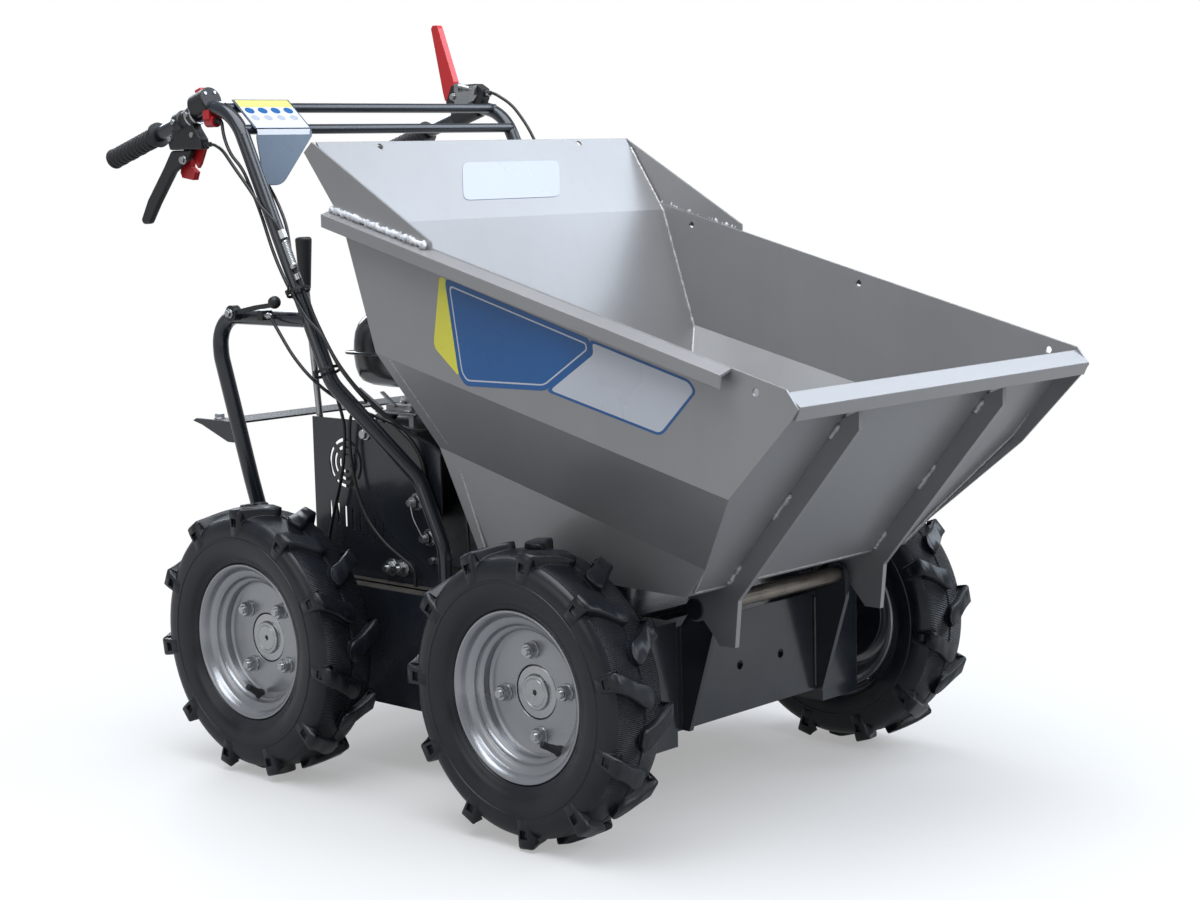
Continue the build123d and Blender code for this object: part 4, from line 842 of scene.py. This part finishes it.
# Distance down the grip and radius: its collar, eleven rings and its end.
length = GRIP_TO - GRIP_FROM
grip_path = [(0, 14), (0.5, 19.2), (5, 19.6), (7, 17.0), (8, 14.6)]
for k in range(11):
    grip_path += [(10 + k * RING_PITCH + along, radius) for along, radius in GRIP_RING]
grip_path += [(length - 5.4, 15.6), (length - 4, 16.0), (length - 1.4, 16.0), (length - 0.3, 14.4)]
for side, sign in SIDES:
    rings = []
    for along, radius in grip_path:
        middle = on_grip(GRIP_FROM + along, sign)
        ring = []
        for i in range(28):
            angle = 2 * pi * i / 28
            # Finger bumps on the underside.
            swell = 0.0
            if 14 < along < length - 8:
                bump = 0.5 - 0.5 * cos(2 * pi * (along - 14) / FINGER_PITCH)
                swell = 1.1 * max(0.0, -sin(angle)) ** 2 * bump
            reach = min(GRIP_MOST_R, radius + swell) if along > 9 else radius
            ring.append(middle + Vector((0, 1, 0)) * cos(angle) * reach + GRIP_UP * sin(angle) * reach)
        rings.append(ring)
    # The CAD node holds both grips, and is replaced once.
    Shape().loft(rings).made(f"grip_{side}", GRIP, replaces=["grips"] if sign > 0 else [], sharp=50,
                             slot="grip_rubber")

# ---- hand controls ----
LEVER = [(-531, 917.6), (-552, 892), (-597, 843), (-617, 812), (-612, 805), (-596, 806), (-572, 836),
         (-528, 884), (-506, 896), (-488, 904), (-480, 917.6)]
plate("brake_lever_detail", LEVER, -286, -274, PLASTIC, 4.0, 4, replaces=["brake_lever"],
      slot="black_plastic")
HOUSING = [(-530, 918.2), (-534, 929), (-519, 948), (-511, 962), (-474, 966), (-466, 950), (-452, 934),
           (-449.4, 918.2)]
housing = Shape()
housing.loft([[(x, y, z) for x, z in HOUSING] for y in (-288.5, -271.5)])
rounded(housing.made("lever_housing", PLASTIC, replaces=["right_clamp"]), 3.0, 3)
COLLAR = [(0, 14.5), (0.03, 16.2), (0.30, 16.2), (0.33, 13.4), (0.62, 13.4), (0.66, 16.2), (0.97, 16.2),
          (1, 14.5)]
Shape().rod(on_grip(130, -1), on_grip(78, -1), COLLAR, 32).made("clamp_band", PLASTIC, sharp=30)
for n, along in enumerate((86, 122)):
    bolt(f"clamp_screw_{n}", on_grip(along, -1) + Vector((0, -16.2, 0)), (0, -1, 0), 8, 4)
for n, (x, z) in enumerate(((-525.6, 935.1), (-470, 940))):
    bolt(f"housing_screw_{n}", (x, -288.4, z), (0, -1, 0), 8, 3.5)
bolt("lever_pivot", (-497, -286, 903), (0, -1, 0), 10, 4, washer=7)
for n, along in enumerate((80, 93)):
    Shape().rod(on_grip(along - 1.8, -1), on_grip(along + 1.8, -1), plain_rod(17.0, 0.4, 3.6), 32).made(
        f"clamp_ring_{n}", ZINC, sharp=30)
# Left perch: cheek plate, spring and cable seat.
PERCH = [(-482, 984), (-440, 989), (-428, 1000), (-432, 1012), (-474, 1013), (-486, 1002)]
plate("perch_plate", PERCH, 268.6, 271.4, ZINC, 0.8)
coil = [(k / 28, 4.8 if k % 2 else 3.6) for k in range(29)]
Shape().rod((-470, 266, 1017), (-432, 266, 1010), coil, 16).made("perch_spring", ZINC, sharp=60)
Shape().box(-440, -428, 262, 269, 1001, 1017).box(-476, -466, 262, 269, 1008, 1022).made("perch_seat", ZINC)
Shape().rod((-428, 280, 1003), (-408, 280, 1002), [(0, 6), (0.4, 6), (0.45, 4.6), (1, 4.4)], 20).made(
    "perch_adjuster", ZINC, sharp=30)
bolt("left_pivot", (-486, 289, 1000), (0, 1, 0), 10, 4, washer=7)
bolt("left_pivot_near", (-486, 271, 1000), (0, -1, 0), 10, 4, washer=7)

# Switch box: a face ring and two small screws.
front_face = on_grip(60, -1) + GRIP_UP * 10 - GRIP_DOWN * 17
back, front = front_face - GRIP_DOWN * 0.2, front_face - GRIP_DOWN * 2.2
Shape().rod(back, front, [(0, 18.6), (0.4, 18.6), (1, 17.0)], 40).made("switch_face", PLASTIC, sharp=30)
for n, turn in enumerate((0.9, 2.4)):
    seat = front + Vector((0, 13 * cos(turn), 0)) + GRIP_UP * 13 * sin(turn)
    bolt(f"switch_screw_{n}", seat, -GRIP_DOWN, 5, 1.2)

# Silver adjusters on the clutch cable, and the ties that hold the cables to the tube.
TUBE_RUN = Vector((-178, 0, 578)) - Vector((-388, 0, 994))
AHEAD = Vector((0.8927, 0, 0.4506))


def by_tube(part, forward, outward, sign):
    """A point beside a handle's straight run: part of the way down, and so far ahead of it and outside it."""
    return BEND + TUBE_RUN * part + AHEAD * forward + Vector((0, sign * (HANDLE_Y + outward), 0))


for n, (top, foot, r) in enumerate(((0.488, 0.520, 6.4), (0.526, 0.622, 5.8), (0.640, 0.662, 5.2))):
    threads = [(0.1 + k * 0.0275, r if k % 2 else r - 0.7) for k in range(28)] if n == 1 else []
    radii = [(0, r - 1.2), (0.06, r), *threads, (0.94, r), (1, r - 1.2)]
    Shape().rod(by_tube(top, 14.2, 5.2, -1), by_tube(foot, 14.2, 5.0, -1), radii, 6 if n == 0 else 20).made(
        f"cable_adjuster_{n}", ZINC, sharp=30)


def tie(name, middle, radius, sign):
    """A narrow strap round a tube and its cables, with its lock and tail."""
    axis = TUBE_RUN.normalized()
    across, up = frame_of(axis)
    rings = []
    for k in range(33):
        angle = 2 * pi * k / 32
        out = across * cos(angle) + up * sin(angle)
        rings.append([middle + out * (radius + dr) + axis * dz
                      for dr, dz in ((0, -2.2), (1.2, -2.2), (1.2, 2.2), (0, 2.2))])
    shape = Shape()
    shape.loft(rings, caps=False)
    lock = middle + Vector((0, sign * (radius + 2.6), 0))
    shape.rod(lock - axis * 3.4, lock + axis * 3.4, [(0, 3.2), (0.1, 3.6), (0.9, 3.6), (1, 3.2)], 4, pi / 4)
    tail = lock + axis * 1 + Vector((9, sign * 6, 13))
    shape.rod(lock, tail, [(0, 1.3), (0.5, 1.3), (1, 1.0)], 6)
    shape.made(name, PLASTIC, sharp=40)


for n, (part, forward, right_r) in enumerate(((0.69, 3, 17.0), (0.965, 4, 19.5))):
    for (side, sign), radius in zip(SIDES, (right_r, 17.0)):
        tie(f"tie_{n}_{side}", by_tube(part, forward, 4, sign), radius, sign)

# Throttle lever's pivot bolt and cable clip.
bolt("throttle_pivot", (-376, -304.3, 674), (0, -1, 0), 10, 5, washer=7)
sleeve = [(0, 4), (0.1, 4.4), (0.6, 4.4), (0.65, 3.4), (1, 3.2)]
Shape().rod((-300, -299, 673), (-284, -299, 672), sleeve, 18).made("throttle_ferrule", ZINC)
FERRULE = [(0, 5.4), (0.3, 5.4), (0.34, 4.0), (0.95, 3.7), (1, 3.2)]
for name, start, end in (("clutch", (-449, -280, 925), (-436, -280, 925)),
                         ("drive", (-420, -280, 959), (-410, -280, 959)),
                         ("left", (-418, 280, 1004), (-405, 280, 1004))):
    Shape().rod(start, end, FERRULE, 18).made(f"ferrule_{name}", PLASTIC)

# ---- engine ----
CRANK_X, CRANK_Z = -215.0, 424.0
ENGINE_TOP = 520.0
RIB_OUTLINE = ((24, -2.2), (50, -3.4), (50, 3.4), (24, 2.2))
starter = Shape()
for k in range(16):
    c, s = cos(2 * pi * k / 16), sin(2 * pi * k / 16)
    base = [(CRANK_X + r * c - w * s, CRANK_Z + r * s + w * c) for r, w in RIB_OUTLINE]
    starter.loft([[(x, y, z) for x, z in base] for y in (-127.5, -129.8)])
starter.made("starter_ribs", PLASTIC, sharp=30)
Shape().rod((CRANK_X, -127.5, CRANK_Z), (CRANK_X, -131.5, CRANK_Z), [(0, 20), (0.7, 20), (1, 16)], 40).made(
    "starter_hub", ZINC)
pull = [(0, 4), (0.1, 7), (0.5, 5.5), (0.9, 7), (1, 4)]
Shape().rod((CRANK_X - 46, -122, 508), (CRANK_X - 4, -122, 514), pull, 18).made("starter_handle", PLASTIC)
fins = Shape()
for k in range(9):
    z = 432 + k * 9.6
    fins.box(-162, -44, -56, 91, z, z + 3.2)
rounded(fins.made("cylinder_fins", ALU), 0.8, 2)
for n, (x, y) in enumerate(((-290, -40), (-290, 75), (-180, 75), (-180, -40))):
    bolt(f"engine_bolt_{n}", (x, y, ENGINE_TOP), UPWARD, 12, 6, 8, turn=n)
spark = [(-44, 20, 470), (-28, 20, 474), (-22, 30, 492), (-34, 60, 505), (-60, 92, 500), (-110, 98, 470)]
tube_along("spark_lead", spark, 3.2, CABLE)
Shape().rod((-47, 20, 469), (-24, 20, 475), [(0, 6), (0.2, 8), (0.6, 7.5), (0.8, 5), (1, 4)], 18).made(
    "spark_cap", PLASTIC)
guard = Shape()
for k in range(7):
    y = -2 + 14.5 * k
    guard.box(-41.5, -38.8, y, y + 8, 540, 622)
rounded(guard.made("silencer_slots", PLASTIC), 0.8, 2)
Shape().rod((-66, -126, 600), (-66, -119, 600), [(0, 9), (0.2, 12), (0.8, 12), (1, 11)], 6).made(
    "cleaner_knob", PLASTIC)

# Fuel tank: domed pressings joined at a flange, on four legs, with its cap.
TANK_X, TANK_Y = -211.0, -40.0
TANK_TOP = 676
# How far in from the flange's edge the tank is, and at what height.
TANK_PATH = [
    (60, 552), (36, 552.6), (24, 555.5), (16, 561), (12, 569), (9.5, 582), (8, 602.4), (1.0, 602.6),
    (0.2, 603.2), (0.2, 606.4), (1.0, 607.0), (8, 607.4), (8.6, 622), (10, 636), (13, 648), (18, 658),
    (26, 666), (38, 671.4), (54, 674.4), (72, TANK_TOP),
]


def tank_ring(inset, z):
    half_x, half_y = 114.0 - inset, 100.0 - inset
    corner = min(22.0 + inset * 0.6, half_x - 1, half_y - 1)
    ring = []
    for quarter, (sx, sy) in enumerate(((1, 1), (-1, 1), (-1, -1), (1, -1))):
        for k in range(9):
            angle = pi / 2 * quarter + pi / 16 * k
            ring.append((TANK_X + sx * (half_x - corner) + corner * cos(angle),
                         TANK_Y + sy * (half_y - corner) + corner * sin(angle), z))
    return ring


tank = Shape().loft([tank_ring(inset, z) for inset, z in TANK_PATH])
tank.made("fuel_tank_detail", TANK, replaces=["fuel_tank"], sharp=50, slot="tank_paint")
legs = Shape()
for x in (-264, -156):
    for y in (-34, 24):
        legs.box(x - 9, x + 9, y - 9, y + 9, 519.8, 562)
rounded(legs.made("tank_legs", STEEL), 1.0, 2)
cap_rings = []
for high, radius in ((0, 30.5), (1.5, 32), (10, 32), (13, 30.5), (15, 26), (15.4, 12)):
    ring = []
    for i in range(72):
        reach = radius + (0.9 if i % 2 and 1 < high < 11 else 0)
        angle = 2 * pi * i / 72
        ring.append((TANK_X + reach * cos(angle), TANK_Y + reach * sin(angle), TANK_TOP + high))
    cap_rings.append(ring)
Shape().loft(cap_rings).made("fuel_cap", PLASTIC, sharp=40)
hose = [(-150, -60, 556), (-140, -90, 545), (-120, -108, 530), (-96, -112, 536), (-84, -112, 548)]
tube_along("fuel_hose", hose, 3.6, CABLE)
breather = [(-168, -214, 540), (-138, -215, 526), (-108, -214, 507), (-86, -211, 492), (-66, -207, 462),
            (-70, -202, 430)]
tube_along("breather_hose", breather, 3.4, CABLE)

# Bolts on the gearbox cover and the belt cover.
for n, (x, y) in enumerate(((-60, -130), (60, -130), (-60, 130), (60, 130))):
    bolt(f"gearbox_bolt_{n}", (x, y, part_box("gearbox")[1].z * 1000), UPWARD, 13, 6, 9, turn=n)
for n, (x, z) in enumerate(((-290, 310), (-80, 310), (-215, 500), (-290, 380))):
    bolt(f"belt_bolt_{n}", (x, 155, z), (0, 1, 0), 10, 5, washer=8, turn=n)


# ---- camera, stage and light ----
FOCAL = 66.109
CAMERA = (2268.0, -2330.7, 885.6)
AZIMUTH = radians(43.096)
ELEVATION = radians(7.4515)
ROLL = radians(-1.3385)


def make_camera():
    back = Vector((sin(AZIMUTH) * cos(ELEVATION), -cos(AZIMUTH) * cos(ELEVATION), sin(ELEVATION)))
    right = Vector((cos(AZIMUTH), sin(AZIMUTH), 0))
    up = back.cross(right)
    turned_right = right * cos(ROLL) + up * sin(ROLL)
    turned_up = up * cos(ROLL) - right * sin(ROLL)
    data = bpy.data.cameras.new("camera")
    data.lens = FOCAL
    data.sensor_width = 36
    data.clip_end = 100
    camera = placed("camera", data)
    rows = Matrix((turned_right, turned_up, back)).transposed().to_4x4()
    camera.matrix_world = Matrix.Translation(at(*CAMERA)) @ rows
    bpy.context.scene.camera = camera


FLOOR_HALF = 30.0
# Distances in metres between which the floor fades into the backdrop, and how white it is at each.
FLOOR_FADE = (0.7, 1.5, 0.35, 1.0)
FLOOR_SEEN, FLOOR_LIT_BY = (0.80, 0.80, 0.80), (0.26, 0.27, 0.28)


def make_stage():
    """A pale floor that fades into the white backdrop away from the machine."""
    mesh = bpy.data.meshes.new("floor")
    corners = [(x * FLOOR_HALF, y * FLOOR_HALF, 0) for x, y in ((-1, -1), (1, -1), (1, 1), (-1, 1))]
    mesh.from_pydata(corners, [], [(0, 1, 2, 3)])
    floor = placed("floor", mesh)
    material = bpy.data.materials.new("floor")
    material.use_nodes = True
    tree = material.node_tree
    shader = tree.nodes["Principled BSDF"]
    path = new_node(tree, "LightPath")
    camera_ray, glossy_ray = path.outputs["Is Camera Ray"], path.outputs["Is Glossy Ray"]
    pale = mixed(tree, camera_ray, FLOOR_LIT_BY, FLOOR_SEEN)
    feed(tree, shader, {"Roughness": 0.5, "Specular IOR Level": 0.2, "Base Color": pale})
    coords = new_node(tree, "TexCoord").outputs["Object"]
    reach = new_node(tree, "VectorMath", {0: coords}, operation="LENGTH").outputs["Value"]
    fade = span(tree, reach, *FLOOR_FADE, interpolation_type="SMOOTHSTEP")
    seen = maths(tree, "MAXIMUM", camera_ray, maths(tree, "MULTIPLY", glossy_ray, 0.5))
    glow = new_node(tree, "Emission", {"Strength": 1.0})
    blend = new_node(tree, "MixShader", {0: maths(tree, "MULTIPLY", fade, seen), 1: shader.outputs[0],
                                         2: glow.outputs[0]})
    out = next(n for n in tree.nodes if n.type == "OUTPUT_MATERIAL")
    feed(tree, out, {"Surface": blend.outputs[0]})
    mesh.materials.append(material)
    floor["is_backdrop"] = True


# Name, place, aim, size, power and colour.
LAMPS = (
    ("overhead", (0.4, -0.6, 3.4), (0, 0, 0.4), (3.2, 3.2), 125, (0.90, 0.95, 1.0)),
    ("front", (3.6, 0.5, 2.4), (0, 0, 0.7), (2.0, 2.2), 40, (0.90, 0.95, 1.0)),
    ("sky", (1.6, 2.9, 2.9), (-0.1, 0, 0.7), (2.6, 2.6), 78, (0.78, 0.88, 1.0)),
    ("rear", (-3.4, 1.2, 2.2), (0, 0, 0.4), (2.0, 1.6), 48, (0.86, 0.93, 1.0)),
    ("side", (-0.6, -3.6, 1.7), (0, 0, 0.5), (2.6, 1.6), 13, (1.0, 0.98, 0.95)),
)
SKY_COLOUR, SKY_STRENGTH = (0.90, 0.94, 1.0), 0.36


def lamp(name, place, aim, size, power, colour):
    data = bpy.data.lights.new(name, "AREA")
    data.shape = "RECTANGLE"
    data.size, data.size_y = size
    data.energy = power
    data.color = colour
    light = placed(name, data)
    light.location = place
    light.rotation_euler = (Vector(aim) - Vector(place)).to_track_quat("-Z", "Y").to_euler()
    light.visible_camera = False


def make_light():
    world = bpy.data.worlds.new("studio")
    bpy.context.scene.world = world
    world.use_nodes = True
    tree = world.node_tree
    soft = tree.nodes["Background"]
    feed(tree, soft, {"Color": SKY_COLOUR, "Strength": SKY_STRENGTH})
    plain = new_node(tree, "Background", {"Color": (1, 1, 1)})
    camera_ray = new_node(tree, "LightPath").outputs["Is Camera Ray"]
    blend = new_node(tree, "MixShader", {0: camera_ray, 1: soft.outputs[0], 2: plain.outputs[0]})
    feed(tree, tree.nodes["World Output"], {"Surface": blend.outputs[0]})
    for row in LAMPS:
        lamp(*row)


bpy.context.scene.view_settings.view_transform = "Standard"
make_camera()
make_stage()
make_light()

low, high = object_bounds()
